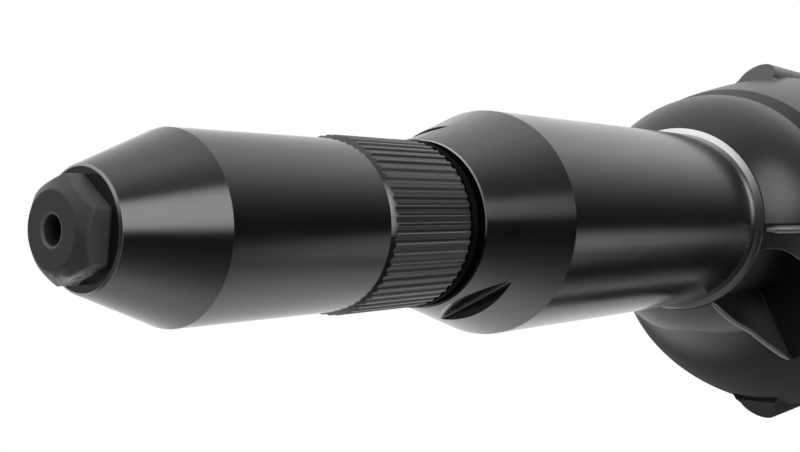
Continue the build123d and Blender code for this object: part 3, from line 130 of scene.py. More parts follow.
def new_finish(name, ior=1.5, metallic=0.0):
    """A new material; returns it with its tree, its Principled shader and the Object coordinates."""
    material = bpy.data.materials.new(name)
    material.use_nodes = True
    tree = material.node_tree
    shader = tree.nodes["Principled BSDF"]
    shader.inputs["IOR"].default_value = ior
    shader.inputs["Metallic"].default_value = metallic
    place = add(tree, "ShaderNodeTexCoord").outputs["Object"]
    return material, tree, shader, place


print("frame brought", len(bpy.data.materials), "plain materials")

# %% [markdown]
# No real surface has one flat tone. A soft cloud of noise shifts the colour and the roughness a little, and
# a finer noise becomes a relief of a few thousandths of a millimetre. The noise mostly stays between 0.3
# and 0.7, so that range is stretched to the limits that a finish asks for.

# %% Pattern helpers
NOISE_RANGE = (0.3, 0.7)
EDGE_SAMPLES = 8


def noise(tree, place, scale, detail=3.0, stretch=(1.0, 1.0, 1.0)):
    """Noise on Object coordinates; scale is in features per metre along each axis."""
    sizes = [scale * share for share in stretch]
    mapped = add(tree, "ShaderNodeMapping", {"Vector": place, "Scale": sizes}).outputs[0]
    sockets = {"Vector": mapped, "Scale": 1.0, "Detail": detail}
    return add(tree, "ShaderNodeTexNoise", sockets).outputs[0]


def remap(tree, value, low, high, to_low, to_high, smooth=False):
    kind = "SMOOTHSTEP" if smooth else "LINEAR"
    sockets = {"Value": value, "From Min": low, "From Max": high, "To Min": to_low, "To Max": to_high}
    return add(tree, "ShaderNodeMapRange", sockets, interpolation_type=kind).outputs[0]


def vary(tree, cloud, low, high):
    """A value that follows a noise between two limits."""
    return remap(tree, cloud, *NOISE_RANGE, low, high)


def between(tree, share, first, second):
    """A colour between two others, by a share from 0 to 1."""
    return add(tree, "ShaderNodeMix", {0: share, 6: first, 7: second}, data_type="RGBA").outputs[2]


def bump(tree, shader, height, depth, edge_round=0.0):
    """A fine relief; with edge_round the shading also rolls softly over sharp edges."""
    made = add(tree, "ShaderNodeBump", {"Height": height, "Strength": 1.0, "Distance": depth})
    if edge_round:
        rolled = add(tree, "ShaderNodeBevel", {"Radius": edge_round}, samples=EDGE_SAMPLES).outputs[0]
        tree.links.new(rolled, made.inputs["Normal"])
    tree.links.new(made.outputs[0], shader.inputs["Normal"])


print("noise is stretched from", NOISE_RANGE)

# %% [markdown]
# Wear sits at places: on a round edge, low down, behind the barrel. Those places are found from the Object
# coordinates too. A ramp goes from 0 to 1 between two distances, and a worn rim is a ramp on the distance
# from a circle round the barrel's axis.

# %% Place helpers
ALONG, HEIGHT = 0, 2


def coordinate(tree, place, axis):
    return add(tree, "ShaderNodeSeparateXYZ", {0: place}).outputs[axis]


def distance_from_axis(tree, place):
    """Distance of a point from the barrel's axis."""
    across = {0: place, 1: (0.0, 1.0, 1.0)}
    flat = add(tree, "ShaderNodeVectorMath", across, operation="MULTIPLY").outputs[0]
    return add(tree, "ShaderNodeVectorMath", {0: flat}, operation="LENGTH").outputs["Value"]


def ramp(tree, value, start, end, smooth=False):
    """0 at a start and before it, 1 from an end on; both in millimetres, in either order."""
    return remap(tree, value, start * MM, end * MM, 0.0, 1.0, smooth)


def worn_rim(tree, place, x, radius, width):
    """1 on a round edge of the barrel, falling to 0 over a width; all in millimetres."""
    section = {0: coordinate(tree, place, ALONG), 1: distance_from_axis(tree, place)}
    spot = add(tree, "ShaderNodeCombineXYZ", section).outputs[0]
    rim = (x * MM, radius * MM, 0.0)
    away = add(tree, "ShaderNodeVectorMath", {0: spot, 1: rim}, operation="DISTANCE").outputs["Value"]
    return ramp(tree, away, width, 0.5 * width)


print("a millimetre is", MM, "in Object coordinates")

# %% [markdown]
# The sleeves are turned steel with a satin black finish. Seen head on they are almost black, and towards
# their edges they mirror the white room, so most of the look is the reflection: a clear layer with a
# rather high index and a moderate roughness. Fine rings left by the lathe go round the axis, so their
# noise is squeezed along X. On two sharp rims the black has rubbed off. On the barrel's rim the bare
# metal is kept to the upper half only, which is a painted highlight where the light falls on it.

# %% Satin black of the turned pieces
NOSE_RIM, NOSE_RIM_GREY = (3.36, 6.66, 0.3), 0.3
BARREL_RIM, BARREL_RIM_GREY, BARREL_RIM_LIT_HEIGHTS = (58.72, 11.75, 0.2), 0.75, (-2.0, 2.5)
RIM_METALLIC = 0.9
TURNED_DARK, TURNED_LIGHT, TURNED_ROUGHNESS = grey(0.002), grey(0.005), (0.15, 0.2)
LATHE_LINES, LATHE_DEPTH = (4000.0, 60.0, 60.0), 0.4e-6


def satin_black():
    material, tree, shader, place = new_finish("satin_black", ior=1.8)
    cloud = noise(tree, place, scale=60.0)
    nose_rim = worn_rim(tree, place, *NOSE_RIM)
    # The barrel's bare rim is kept to its upper half: a painted highlight where the light falls.
    lit_upper_half = ramp(tree, coordinate(tree, place, HEIGHT), *BARREL_RIM_LIT_HEIGHTS)
    worn_and_lit_barrel_rim = calc(tree, "MULTIPLY", worn_rim(tree, place, *BARREL_RIM), lit_upper_half)
    bare = calc(tree, "MAXIMUM", nose_rim, worn_and_lit_barrel_rim)
    colour = between(tree, cloud, TURNED_DARK, TURNED_LIGHT)
    colour = between(tree, nose_rim, colour, grey(NOSE_RIM_GREY))
    colour = between(tree, worn_and_lit_barrel_rim, colour, grey(BARREL_RIM_GREY))
    tree.links.new(colour, shader.inputs["Base Color"])
    tree.links.new(calc(tree, "MULTIPLY", bare, RIM_METALLIC), shader.inputs["Metallic"])
    tree.links.new(vary(tree, cloud, *TURNED_ROUGHNESS), shader.inputs["Roughness"])
    bump(tree, shader, noise(tree, place, scale=1.0, detail=2.0, stretch=LATHE_LINES), LATHE_DEPTH)
    return material


turned_finish = satin_black()
print(turned_finish.name, "has", len(turned_finish.node_tree.nodes), "nodes")

# %% [markdown]
# The ribbed ring is gripped by hand. Its ribs stay black, and their edges are painted a lighter grey and
# made smoother: partly rubbed wear, partly a painted highlight for the fine bright lines they catch. The
# edges lie in a narrow band of distances from the axis, so two ramps on that distance pick them out. A
# patch of the front edge is worn down to the metal and kept to a band of heights where the light catches
# it, so it is also a painted highlight.

# %% Ribbed ring
RIB_EDGE_RISE, RIB_EDGE_FALL = (11.34, 11.46), (11.495, 11.47)
RIB_BLACK, RIB_EDGE_WORN_AND_LIT_GREY, RIB_ROUGHNESS = grey(0.003), grey(0.12), (0.34, 0.22)
RING_FRONT, RING_FRONT_WORN_AND_LIT = 39.66, 0.8
LIT_PATCH_RISE, LIT_PATCH_FALL, PATCH_METALLIC, PATCH_GREY = (-1.5, 0.0), (5.5, 3.5), 0.9, grey(0.85)


def ring_black():
    material, tree, shader, place = new_finish("ring_black", ior=1.8)
    radius = distance_from_axis(tree, place)
    height = coordinate(tree, place, HEIGHT)
    # Rib edges painted lighter: partly rubbed wear, partly painted highlight.
    edge = calc(tree, "MULTIPLY", ramp(tree, radius, *RIB_EDGE_RISE), ramp(tree, radius, *RIB_EDGE_FALL))
    front = ramp(tree, coordinate(tree, place, ALONG), RING_FRONT + RING_FRONT_WORN_AND_LIT, RING_FRONT)
    # The bare front patch is kept to a band of heights where the light catches it: painted highlight on
    # real wear.
    patch = calc(tree, "MULTIPLY", front, PATCH_METALLIC)
    patch = calc(tree, "MULTIPLY", patch, ramp(tree, height, *LIT_PATCH_RISE))
    patch = calc(tree, "MULTIPLY", patch, ramp(tree, height, *LIT_PATCH_FALL))
    colour = between(tree, patch, between(tree, edge, RIB_BLACK, RIB_EDGE_WORN_AND_LIT_GREY), PATCH_GREY)
    tree.links.new(colour, shader.inputs["Base Color"])
    tree.links.new(patch, shader.inputs["Metallic"])
    tree.links.new(remap(tree, edge, 0.0, 1.0, *RIB_ROUGHNESS), shader.inputs["Roughness"])
    bump(tree, shader, noise(tree, place, scale=4000.0), depth=1e-6)
    return material


ring_finish = ring_black()
print(ring_finish.name, "has", len(ring_finish.node_tree.nodes), "nodes")

# %% [markdown]
# The nosepiece is hardened steel, dull and grey, because it is left as it comes out of the heat. Rivets rub
# it bright round its hole, and knocks scrape its lower edge in patches. The Bevel node in its relief rolls
# the light softly over the six edges.

# %% Nosepiece
NOSE_DARK, NOSE_LIGHT, NOSE_ROUGHNESS = grey(0.035), grey(0.055), (0.42, 0.6)
NOSE_BARE, NOSE_GRAIN_DEPTH, NOSE_EDGE = grey(0.32), 6e-6, 0.5 * MM
SCRAPE_HEIGHTS, SCRAPE_NOISE = (-3.9, -4.7), (0.42, 0.6)
NOSE_MOUTH, NOSE_MOUTH_SHARE = (0.0, 1.6, 0.36), 0.35


def nose_grey():
    material, tree, shader, place = new_finish("nose_grey", ior=1.6)
    cloud = noise(tree, place, scale=350.0, detail=4.0)
    low = ramp(tree, coordinate(tree, place, HEIGHT), *SCRAPE_HEIGHTS)
    blotches = remap(tree, noise(tree, place, scale=900.0, detail=4.0), *SCRAPE_NOISE, 0.0, 1.0)
    scraped = calc(tree, "MULTIPLY", low, blotches)
    mouth = calc(tree, "MULTIPLY", worn_rim(tree, place, *NOSE_MOUTH), NOSE_MOUTH_SHARE)
    bare = calc(tree, "MAXIMUM", scraped, mouth)
    colour = between(tree, bare, between(tree, cloud, NOSE_DARK, NOSE_LIGHT), NOSE_BARE)
    tree.links.new(colour, shader.inputs["Base Color"])
    tree.links.new(vary(tree, cloud, *NOSE_ROUGHNESS), shader.inputs["Roughness"])
    bump(tree, shader, noise(tree, place, scale=2500.0, detail=4.0), NOSE_GRAIN_DEPTH, NOSE_EDGE)
    return material


nose_finish = nose_grey()
print(nose_finish.name, "has", len(nose_finish.node_tree.nodes), "nodes")

# %% [markdown]
# Bare metals mirror the room in their own colour, so they are fully metallic, and what tells them apart is
# colour and roughness. The bright ring at the barrel's root is turned and has the lathe's lines. The inner
# works are ground, drawn or cast, with an even fine grain.

# %% Bare metals
BRIGHT_DARK, BRIGHT_LIGHT, BRIGHT_ROUGHNESS = grey(0.82), grey(0.9), (0.22, 0.27)
BRIGHT_LINES, BRIGHT_DEPTH = (5000.0, 80.0, 80.0), 0.3e-6
METAL_SHADE, METAL_SMOOTHER, METAL_ROUGHER = 0.8, 0.05, 0.08


def satin_steel():
    material, tree, shader, place = new_finish("satin_steel", metallic=1.0)
    cloud = noise(tree, place, scale=150.0)
    tree.links.new(between(tree, cloud, BRIGHT_DARK, BRIGHT_LIGHT), shader.inputs["Base Color"])
    tree.links.new(vary(tree, cloud, *BRIGHT_ROUGHNESS), shader.inputs["Roughness"])
    bump(tree, shader, noise(tree, place, scale=1.0, detail=2.0, stretch=BRIGHT_LINES), BRIGHT_DEPTH)
    return material


def bare_metal(name, colour, roughness):
    material, tree, shader, place = new_finish(name, metallic=1.0)
    cloud = noise(tree, place, scale=200.0)
    light = (*colour, 1.0)
    dark = (*(part * METAL_SHADE for part in colour), 1.0)
    limits = (roughness - METAL_SMOOTHER, roughness + METAL_ROUGHER)
    tree.links.new(between(tree, cloud, dark, light), shader.inputs["Base Color"])
    tree.links.new(vary(tree, cloud, *limits), shader.inputs["Roughness"])
    bump(tree, shader, noise(tree, place, scale=1500.0), depth=1e-6)
    return material


metals = {
    "bright_steel": satin_steel(),
    "tool_steel": bare_metal("ground_steel", colour=(0.56, 0.56, 0.57), roughness=0.3),
    "bearing_steel": bare_metal("bearing_bright", colour=(0.65, 0.65, 0.66), roughness=0.22),
    "bronze": bare_metal("plain_bronze", colour=(0.62, 0.42, 0.2), roughness=0.34),
    "lamination": bare_metal("core_iron", colour=(0.3, 0.3, 0.31), roughness=0.5),
    "copper": bare_metal("winding_copper", colour=(0.7, 0.33, 0.16), roughness=0.35),
    "zinc_screw": bare_metal("black_screw", colour=(0.1, 0.1, 0.105), roughness=0.35),
}
print(len(metals), "bare metals")

# %% [markdown]
# Plastics, rubber and carbon share one recipe: a nearly black base with a moulded grain, whose size and
# depth differ. The seal in the ring's groove sits in the dark, so it gets a painted shade: a darker black
# and a low index, so it hardly reflects. The beads get the case's black painted lighter and glossier, a
# painted highlight for the bright lines they catch.

# %% Moulded blacks
MOULD_SHADE, MOULD_ROUGHNESS = 0.2, 0.04


def moulded_black(name, roughness, grain, depth, level=0.009, ior=1.6):
    """The grain's size is in millimetres, its depth in metres."""
    material, tree, shader, place = new_finish(name, ior)
    cloud = noise(tree, place, scale=40.0)
    dark, light = grey(level * (1.0 - MOULD_SHADE)), grey(level * (1.0 + MOULD_SHADE))
    limits = (roughness - MOULD_ROUGHNESS, roughness + MOULD_ROUGHNESS)
    tree.links.new(between(tree, cloud, dark, light), shader.inputs["Base Color"])
    tree.links.new(vary(tree, cloud, *limits), shader.inputs["Roughness"])
    bump(tree, shader, noise(tree, place, scale=1.0 / (grain * MM)), depth)
    return material


mouldings = {
    "seal_rubber": moulded_black("seal_black", 0.6, grain=0.4, depth=6e-6, level=0.004, ior=1.4),
    "housing_plastic": moulded_black("housing_black", 0.45, grain=0.45, depth=8e-6, level=0.012),
    "control_plastic": moulded_black("control_black", 0.35, grain=0.3, depth=3e-6, level=0.014),
    "carbon": moulded_black("brush_carbon", 0.6, grain=0.3, depth=4e-6),
}
# The seal's darker black and low index are painted shade for its place in the groove.
shade_darkened_seal = moulded_black("shade_darkened_seal", 0.6, grain=0.4, depth=6e-6, level=0.002, ior=1.15)
# A lighter, glossier black for the beads: painted highlight.
bead_highlight_black = moulded_black("bead_highlight_black", 0.35, grain=0.25, depth=1.5e-6, level=0.08, ior=1.9)
print(len(mouldings) + 2, "moulded blacks")

# %% [markdown]
# The gear case is cast and painted satin black. Low down behind the barrel, where no hand wipes it, dust
# dulls the paint, so there the roughness rises over two smooth ramps. Elsewhere it mirrors the room.

# %% Gear case
CASE_DARK, CASE_LIGHT, CASE_ROUGHNESS = grey(0.005), grey(0.007), (0.31, 0.37)
CASE_GRAIN_DEPTH, CASE_EDGE = 1.5e-6, 0.35 * MM
DUST_HEIGHTS, DUST_ALONG, DUST_ROUGHNESS = (-15.0, -24.0), (147.0, 162.0), 0.5


def case_black():
    material, tree, shader, place = new_finish("case_black", ior=1.6)
    cloud = noise(tree, place, scale=40.0)
    low = ramp(tree, coordinate(tree, place, HEIGHT), *DUST_HEIGHTS, smooth=True)
    behind = ramp(tree, coordinate(tree, place, ALONG), *DUST_ALONG, smooth=True)
    dust = calc(tree, "MULTIPLY", calc(tree, "MULTIPLY", low, behind), DUST_ROUGHNESS)
    dulled = calc(tree, "ADD", dust, vary(tree, cloud, *CASE_ROUGHNESS))
    tree.links.new(between(tree, cloud, CASE_DARK, CASE_LIGHT), shader.inputs["Base Color"])
    tree.links.new(dulled, shader.inputs["Roughness"])
    bump(tree, shader, noise(tree, place, scale=4000.0), CASE_GRAIN_DEPTH, CASE_EDGE)
    return material


case_finish = case_black()
print(case_finish.name, "has", len(case_finish.node_tree.nodes), "nodes")

# %% [markdown]
# Each solid names a slot in the record, and the slot chooses its finish. Only the ribbed ring and the seal
# behind it have finishes of their own.

# %% Finishes on the solids
finishes = {"nose_steel": nose_finish, "black_steel": turned_finish, "case_metal": case_finish}
finishes.update(metals)
finishes.update(mouldings)
own_finishes = {"lock_ring": ring_finish, "ring_seal": shade_darkened_seal}
for entry in frame["record"]["subparts"]:
    node = frame["nodes"][entry["node"]]
    finish = own_finishes.get(entry["node"], finishes[entry["material_slot"]])
    node.data.materials.clear()
    node.data.materials.append(finish)
print(len(finishes) + len(own_finishes), "finishes on", len(frame["nodes"]), "solids")

# %% [markdown]
# New pieces are built as a bmesh, laid down as an object at the origin and tied to the body that carries
# them. One helper does those last steps, so each piece's own cell holds only its shape. The others string
# a closed skin over a row of rings, which suits screws, bars and beads.

# %% Piece helpers
SOFT_EDGE = math.radians(35.0)
ROUND_SIDES = 36


def settle(shape, name, body, finish):
    """Turns a bmesh into an object that rides on a body and wears the finish it is given."""
    mesh = bpy.data.meshes.new(name)
    shape.to_mesh(mesh)
    shape.free()
    mesh.shade_smooth()
    mesh.set_sharp_from_angle(angle=SOFT_EDGE)
    mesh.materials.append(finish)
    piece = bpy.data.objects.new(name, mesh)
    bpy.context.scene.collection.objects.link(piece)
    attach(piece, body)
    print(name, "has", len(mesh.polygons), "faces and rides on", body)
    return piece


def ring_of(shape, radius, height, lobes=0, lobe_depth=0.0, sides=ROUND_SIDES):
    """A ring of verts at a height along +Z, round or with lobes."""
    made = bmesh.ops.create_circle(shape, cap_ends=False, segments=sides, radius=radius)["verts"]
    for vert in made:
        swell = 1.0
        if lobes:
            swell += lobe_depth * math.cos(lobes * math.atan2(vert.co.y, vert.co.x))
        vert.co = Vector((vert.co.x * swell, vert.co.y * swell, height))
    return made


def rim_of(ring):
    """The edges that run round a ring."""
    members = set(ring)
    return list({e for v in ring for e in v.link_edges if e.other_vert(v) in members})


def string_skin(shape, rings):
    """Joins neighbouring rings with faces and closes the first and the last; returns all the verts."""
    for first, second in zip(rings, rings[1:]):
        bmesh.ops.bridge_loops(shape, edges=rim_of(first) + rim_of(second))
    for end in (rings[0], rings[-1]):
        bmesh.ops.contextual_create(shape, geom=rim_of(end))
    verts = [v for ring in rings for v in ring]
    bmesh.ops.recalc_face_normals(shape, faces=list({f for v in verts for f in v.link_faces}))
    return verts


def lay_along_y(shape, verts, x, z):
    """Turns what was built along +Z to run along +Y through a place given in millimetres."""
    bmesh.ops.rotate(shape, verts=verts, matrix=Matrix.Rotation(math.radians(-90.0), 3, "X"))
    bmesh.ops.translate(shape, verts=verts, vec=Vector((x, 0.0, z)) * MM)


print("edges above", round(math.degrees(SOFT_EDGE)), "degrees stay sharp")

# %% [markdown]
# The handle halves are held by five screws with rounded heads and six-lobed driving holes. The solid only
# has plain round heads, so each screw is made again from rings: shank, rounded head, and the lobed hole
# going down into it. Where each screw begins and ends is measured on the solid it stands for.

# %% Handle screws
SCREW_PLACES = ((299.0, -36.5), (287.0, -88.0), (293.0, -118.0), (298.0, -139.5), (298.0, 13.0))
SHANK_R, SHANK_TIP_SHARE, SHANK_TIP_LENGTH = 1.6, 0.7, 0.5
HEAD_R, HEAD_HEIGHT, HEAD_SLACK = 3.2, 2.4, 0.2
HEAD_DOME = ((0.0, 1.2), (0.12, 1.6), (0.45, 2.0), (0.95, 2.3))
DRIVE_R, DRIVE_LAND, DRIVE_DEPTH, DRIVE_LOBES, DRIVE_SWELL = 1.35, 0.55, 1.4, 6, 0.13
solid_points = [v.co / MM for v in frame["nodes"]["handle_screws"].data.vertices]
screws = bmesh.new()
for x, z in SCREW_PLACES:
    along = [p.y for p in solid_points if math.hypot(p.x - x, p.z - z) < HEAD_R + HEAD_SLACK]
    tip, top = min(along), max(along)
    seat = top - HEAD_HEIGHT
    outline = [(SHANK_R * SHANK_TIP_SHARE, tip), (SHANK_R, tip + SHANK_TIP_LENGTH)]
    outline += [(SHANK_R, seat), (HEAD_R, seat)]
    outline += [(HEAD_R - inward, seat + up) for inward, up in HEAD_DOME]
    outline.append((DRIVE_R + DRIVE_LAND, top))
    rings = [ring_of(screws, r * MM, h * MM) for r, h in outline]
    for depth in (0.0, DRIVE_DEPTH):
        rings.append(ring_of(screws, DRIVE_R * MM, (top - depth) * MM, DRIVE_LOBES, DRIVE_SWELL))
    lay_along_y(screws, string_skin(screws, rings), x, z)
screw_set = settle(screws, "handle_screw_set", "frame", finishes["zinc_screw"])
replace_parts(screw_set, "handle_screws")

# %% [markdown]
# Two coil springs push the jaws shut and the trigger out. Each is one round wire section carried along a
# screw path by the spin operator, with a small step forward at every move. A solid can't shorten, so these
# stand for the springs of the frame.

# %% Springs
STEPS_A_TURN, WIRE_SIDES = 24, 10


def coil(node, wire_r, turns, body):
    """Winds a spring in the box of its solid; the wire radius is in millimetres."""
    low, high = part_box(node)
    middle = (low + high) / 2
    wire = wire_r * MM
    steps = STEPS_A_TURN * turns
    shape = bmesh.new()
    section = bmesh.ops.create_circle(shape, cap_ends=False, segments=WIRE_SIDES, radius=wire)["verts"]
    start = Vector((low.x + wire, high.y - wire, middle.z))
    bmesh.ops.translate(shape, verts=section, vec=start)
    step = Vector(((high.x - low.x - 2 * wire) / steps, 0.0, 0.0))
    bmesh.ops.spin(
        shape, geom=section + rim_of(section), cent=middle, axis=(1.0, 0.0, 0.0), dvec=step,
        angle=math.radians(360.0 * turns), steps=steps, use_merge=False, use_duplicate=False,
    )
    bmesh.ops.holes_fill(shape, edges=[e for e in shape.edges if e.is_boundary], sides=0)
    bmesh.ops.recalc_face_normals(shape, faces=shape.faces)
    spring = settle(shape, f"{node}_coil", body, finishes["tool_steel"])
    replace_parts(spring, node)
    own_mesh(spring)


coil("jaw_spring", wire_r=0.4, turns=6, body="draw")
coil("trigger_spring", wire_r=0.35, turns=4, body="frame")

# %% [markdown]
# The finger meets five small ribs in the hollow of the trigger. They are short bars with drawn-in ends,
# half sunk in the trigger. How far back the hollow lies at each height is found by sending a ray at it.

# %% Trigger ribs
TRIGGER_RIBS, RIB_R, RIB_TIP_R, RIB_HALF, RIB_TAPER = 5, 0.6, 0.25, 6.0, 0.6
BAR_SIDES = 14
RAY_START = 10.0
REARWARD = Vector((1.0, 0.0, 0.0))


def skin_of(node):
    """A solid's faces, ready for rays to be sent at them."""
    probe = bmesh.new()
    probe.from_mesh(frame["nodes"][node].data)
    skin = BVHTree.FromBMesh(probe)
    probe.free()
    return skin


trigger_skin = skin_of("trigger")
trigger_low, trigger_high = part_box("trigger")
full_part = RIB_HALF - RIB_TAPER
rib_outline = [(RIB_TIP_R, -RIB_HALF), (RIB_R, -full_part), (RIB_R, full_part), (RIB_TIP_R, RIB_HALF)]
bars = bmesh.new()
for index in range(TRIGGER_RIBS):
    share = (index + 1) / (TRIGGER_RIBS + 1)
    z = trigger_low.z + share * (trigger_high.z - trigger_low.z)
    hit = trigger_skin.ray_cast(Vector((trigger_low.x - RAY_START * MM, 0.0, z)), REARWARD)[0]
    rings = [ring_of(bars, r * MM, h * MM, sides=BAR_SIDES) for r, h in rib_outline]
    lay_along_y(bars, string_skin(bars, rings), hit.x / MM, z / MM)
settle(bars, "trigger_ribs", "trigger", finishes["control_plastic"])

# %% [markdown]
# At the root of the barrel sits a bright ring. Its front is a steep turned cone, so on top it mirrors the
# white of the tent and on the near side the dark opening. In front of it a black collar carries the
# barrel's skin on. Each is a half section drawn point by point, spun once round the axis and merged where
# the last step meets the first.

# %% Barrel bezel and its collar
TURN_STEPS, MERGE_DISTANCE = 128, 1e-6
BEZEL_SEAT_R, BARREL_R, BEZEL_LAND, BEZEL_CONE = 16.2, 16.8, 0.3, 0.55


def turned_ring(name, outline, slot):
    """Spins a closed outline of places along the axis and radii, in millimetres."""
    shape = bmesh.new()
    corners = [shape.verts.new(Vector((x, 0.0, r)) * MM) for x, r in outline]
    section = [shape.edges.new((a, b)) for a, b in zip(corners, corners[1:] + corners[:1])]
    bmesh.ops.spin(
        shape, geom=corners + section, cent=(0.0, 0.0, 0.0), axis=(1.0, 0.0, 0.0),
        angle=math.radians(360.0), steps=TURN_STEPS, use_merge=True, use_duplicate=False,
    )
    bmesh.ops.remove_doubles(shape, verts=shape.verts, dist=MERGE_DISTANCE)
    bmesh.ops.recalc_face_normals(shape, faces=shape.faces)
    return settle(shape, name, "frame", finishes[slot])


bezel_low, bezel_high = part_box("barrel_ring")
collar_front, case_front, bezel_crest = bezel_low.x / MM, bezel_high.x / MM, bezel_high.y / MM
land_front = case_front - BEZEL_LAND
cone_front = land_front - BEZEL_CONE
bezel_outline = [(cone_front, BEZEL_SEAT_R), (cone_front, BARREL_R), (land_front, bezel_crest)]
bezel_outline += [(case_front, bezel_crest), (case_front, BEZEL_SEAT_R)]
collar_outline = [(collar_front, BEZEL_SEAT_R), (collar_front, BARREL_R)]
collar_outline += [(cone_front, BARREL_R), (cone_front, BEZEL_SEAT_R)]
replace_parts(turned_ring("barrel_bezel", bezel_outline, "bright_steel"), "barrel_ring")
turned_ring("bezel_collar", collar_outline, "black_steel")

# %% [markdown]
# Thin beads run over the gear case: one along each side of the neck, left where the halves of the casting
# mould met, and one along the lower edge of the near pocket, where a sharp corner would chip. They catch
# the light as short bright lines. Rays sent at the case find their paths, and rings set square to a path
# carry the skin, drawn in at both ends.

# %% Casting beads
BEAD_HEIGHT, BEAD_SPAN, BEAD_R, BEAD_POINTS = -2.1, (142.6, 157.2), 0.8, 9
LIP_FROM, LIP_TO, LIP_R, LIP_POINTS = (7.6, -16.3), (13.9, -29.4), 0.5, 15
BEAD_TIP_SHARE = 0.4
BESIDE_CASE, BEFORE_CASE = 60.0, 100.0
case_skin = skin_of("gear_case")


def part_way(span, share):
    """The value at a share of the way between two limits."""
    return span[0] + (span[1] - span[0]) * share


def string_bead(shape, points, radius):
    """A round bead with drawn-in ends along a row of points."""
    rings = []
    last = len(points) - 1
    for index, point in enumerate(points):
        ahead = points[min(index + 1, last)] - points[max(index - 1, 0)]
        share = BEAD_TIP_SHARE if index in (0, last) else 1.0
        ring = ring_of(shape, share * radius * MM, 0.0, sides=BAR_SIDES)
        bmesh.ops.rotate(shape, verts=ring, matrix=ahead.to_track_quat("Z", "Y").to_matrix())
        bmesh.ops.translate(shape, verts=ring, vec=point)
        rings.append(ring)
    string_skin(shape, rings)


beads = bmesh.new()
for side in (-1.0, 1.0):
    points = []
    for index in range(BEAD_POINTS):
        x = part_way(BEAD_SPAN, index / (BEAD_POINTS - 1))
        start = Vector((x, side * BESIDE_CASE, BEAD_HEIGHT)) * MM
        points.append(case_skin.ray_cast(start, Vector((0.0, -side, 0.0)))[0])
    string_bead(beads, points, BEAD_R)
points = []
for index in range(LIP_POINTS):
    y, z = (part_way(span, index / (LIP_POINTS - 1)) for span in zip(LIP_FROM, LIP_TO))
    points.append(case_skin.ray_cast(Vector((BEFORE_CASE, -y, z)) * MM, REARWARD)[0])
string_bead(beads, points, LIP_R)
# The beads wear the lighter black, a painted highlight along their lines.
settle(beads, "casting_beads", "frame", bead_highlight_black)

# %% [markdown]
# The case's outline on the far side runs on without a recess, so the pocket there is closed by a cover. It
# is a grid over the pocket's mouth. Each of its points is set back to the case's own skin, which is the
# foremost of two turned arcs, the bowl round the lay shaft and the neck round the barrel with its leaning
# lower sides. A Solidify modifier gives the sheet its thickness.

# %% Pocket cover
COVER_CORNER, COVER_TURN = (7.8, -16.1), math.radians(25.6)
COVER_LENGTH, COVER_WIDTH = (-5.3, 16.3), (-0.3, 15.7)
COVER_ROWS, COVER_SUNK, COVER_THICKNESS = 40, 0.15, 1.2
NECK_ARC = ((0.0, 18.0), (7.4, 23.35), (17.0, 25.8))
BOWL_ARC = ((0.0, 8.2), (18.0, 21.0), (52.0, 34.26))
BOWL_DROP, CREASE_HEIGHT, CREASE_LEAN = 9.58, -1.0, math.radians(25.0)


def arc_depth(arc, radius):
    """How far behind the case's front an arc given by three points reaches a radius."""
    (x1, r1), (x2, r2), (x3, r3) = arc
    s1, s2, s3 = (x * x + r * r for x, r in arc)
    spread = 2.0 * (x1 * (r2 - r3) + x2 * (r3 - r1) + x3 * (r1 - r2))
    middle_x = (s1 * (r2 - r3) + s2 * (r3 - r1) + s3 * (r1 - r2)) / spread
    middle_r = (s1 * (x3 - x2) + s2 * (x1 - x3) + s3 * (x2 - x1)) / spread
    if radius <= r1:
        return 0.0
    if radius >= r3:
        return math.inf
    reach = (x1 - middle_x) ** 2 + (r1 - middle_r) ** 2
    return middle_x - math.sqrt(reach - (radius - middle_r) ** 2)


def face_toward(sheet, way):
    """Turns a sheet over if its faces look away from a direction."""
    sheet.normal_update()
    if sum(face.normal.dot(way) for face in sheet.faces) < 0.0:
        bmesh.ops.reverse_faces(sheet, faces=sheet.faces)


def thicken(piece, thickness, offset):
    """Gives a sheet a wall: offset -1 grows it behind the faces, 1 in front of them."""
    wall = piece.modifiers.new("wall", "SOLIDIFY")
    wall.thickness = thickness * MM
    wall.offset = offset


cover = bmesh.new()
bmesh.ops.create_grid(cover, x_segments=COVER_ROWS, y_segments=COVER_ROWS, size=0.5)
down = Vector((0.0, math.sin(COVER_TURN), -math.cos(COVER_TURN)))
outward = Vector((0.0, -down.z, down.y))
for vert in cover.verts:
    along = part_way(COVER_LENGTH, 0.5 + vert.co.x)
    wide = part_way(COVER_WIDTH, 0.5 + vert.co.y)
    spot = Vector((0.0, *COVER_CORNER)) + down * along + outward * wide
    leaning = spot.y + math.tan(CREASE_LEAN) * (CREASE_HEIGHT - spot.z)
    neck = max(arc_depth(NECK_ARC, spot.yz.length), arc_depth(NECK_ARC, leaning))
    bowl = arc_depth(BOWL_ARC, math.hypot(spot.y, spot.z + BOWL_DROP))
    spot.x = case_front + min(neck, bowl) + COVER_SUNK
    vert.co = spot * MM
face_toward(cover, -REARWARD)
far_cover = settle(cover, "pocket_cover", "frame", finishes["case_metal"])
thicken(far_cover, COVER_THICKNESS, offset=-1.0)

# %% [markdown]
# The palm rests on two soft panels, one on each handle half. They follow the moulding exactly, so each is
# a flat grid whose points are sent from outside at the handle's skin, row by row down the grip. On the way
# the rows are lifted in waves, which become the ribs, and a Solidify modifier gives the sheet its
# thickness.

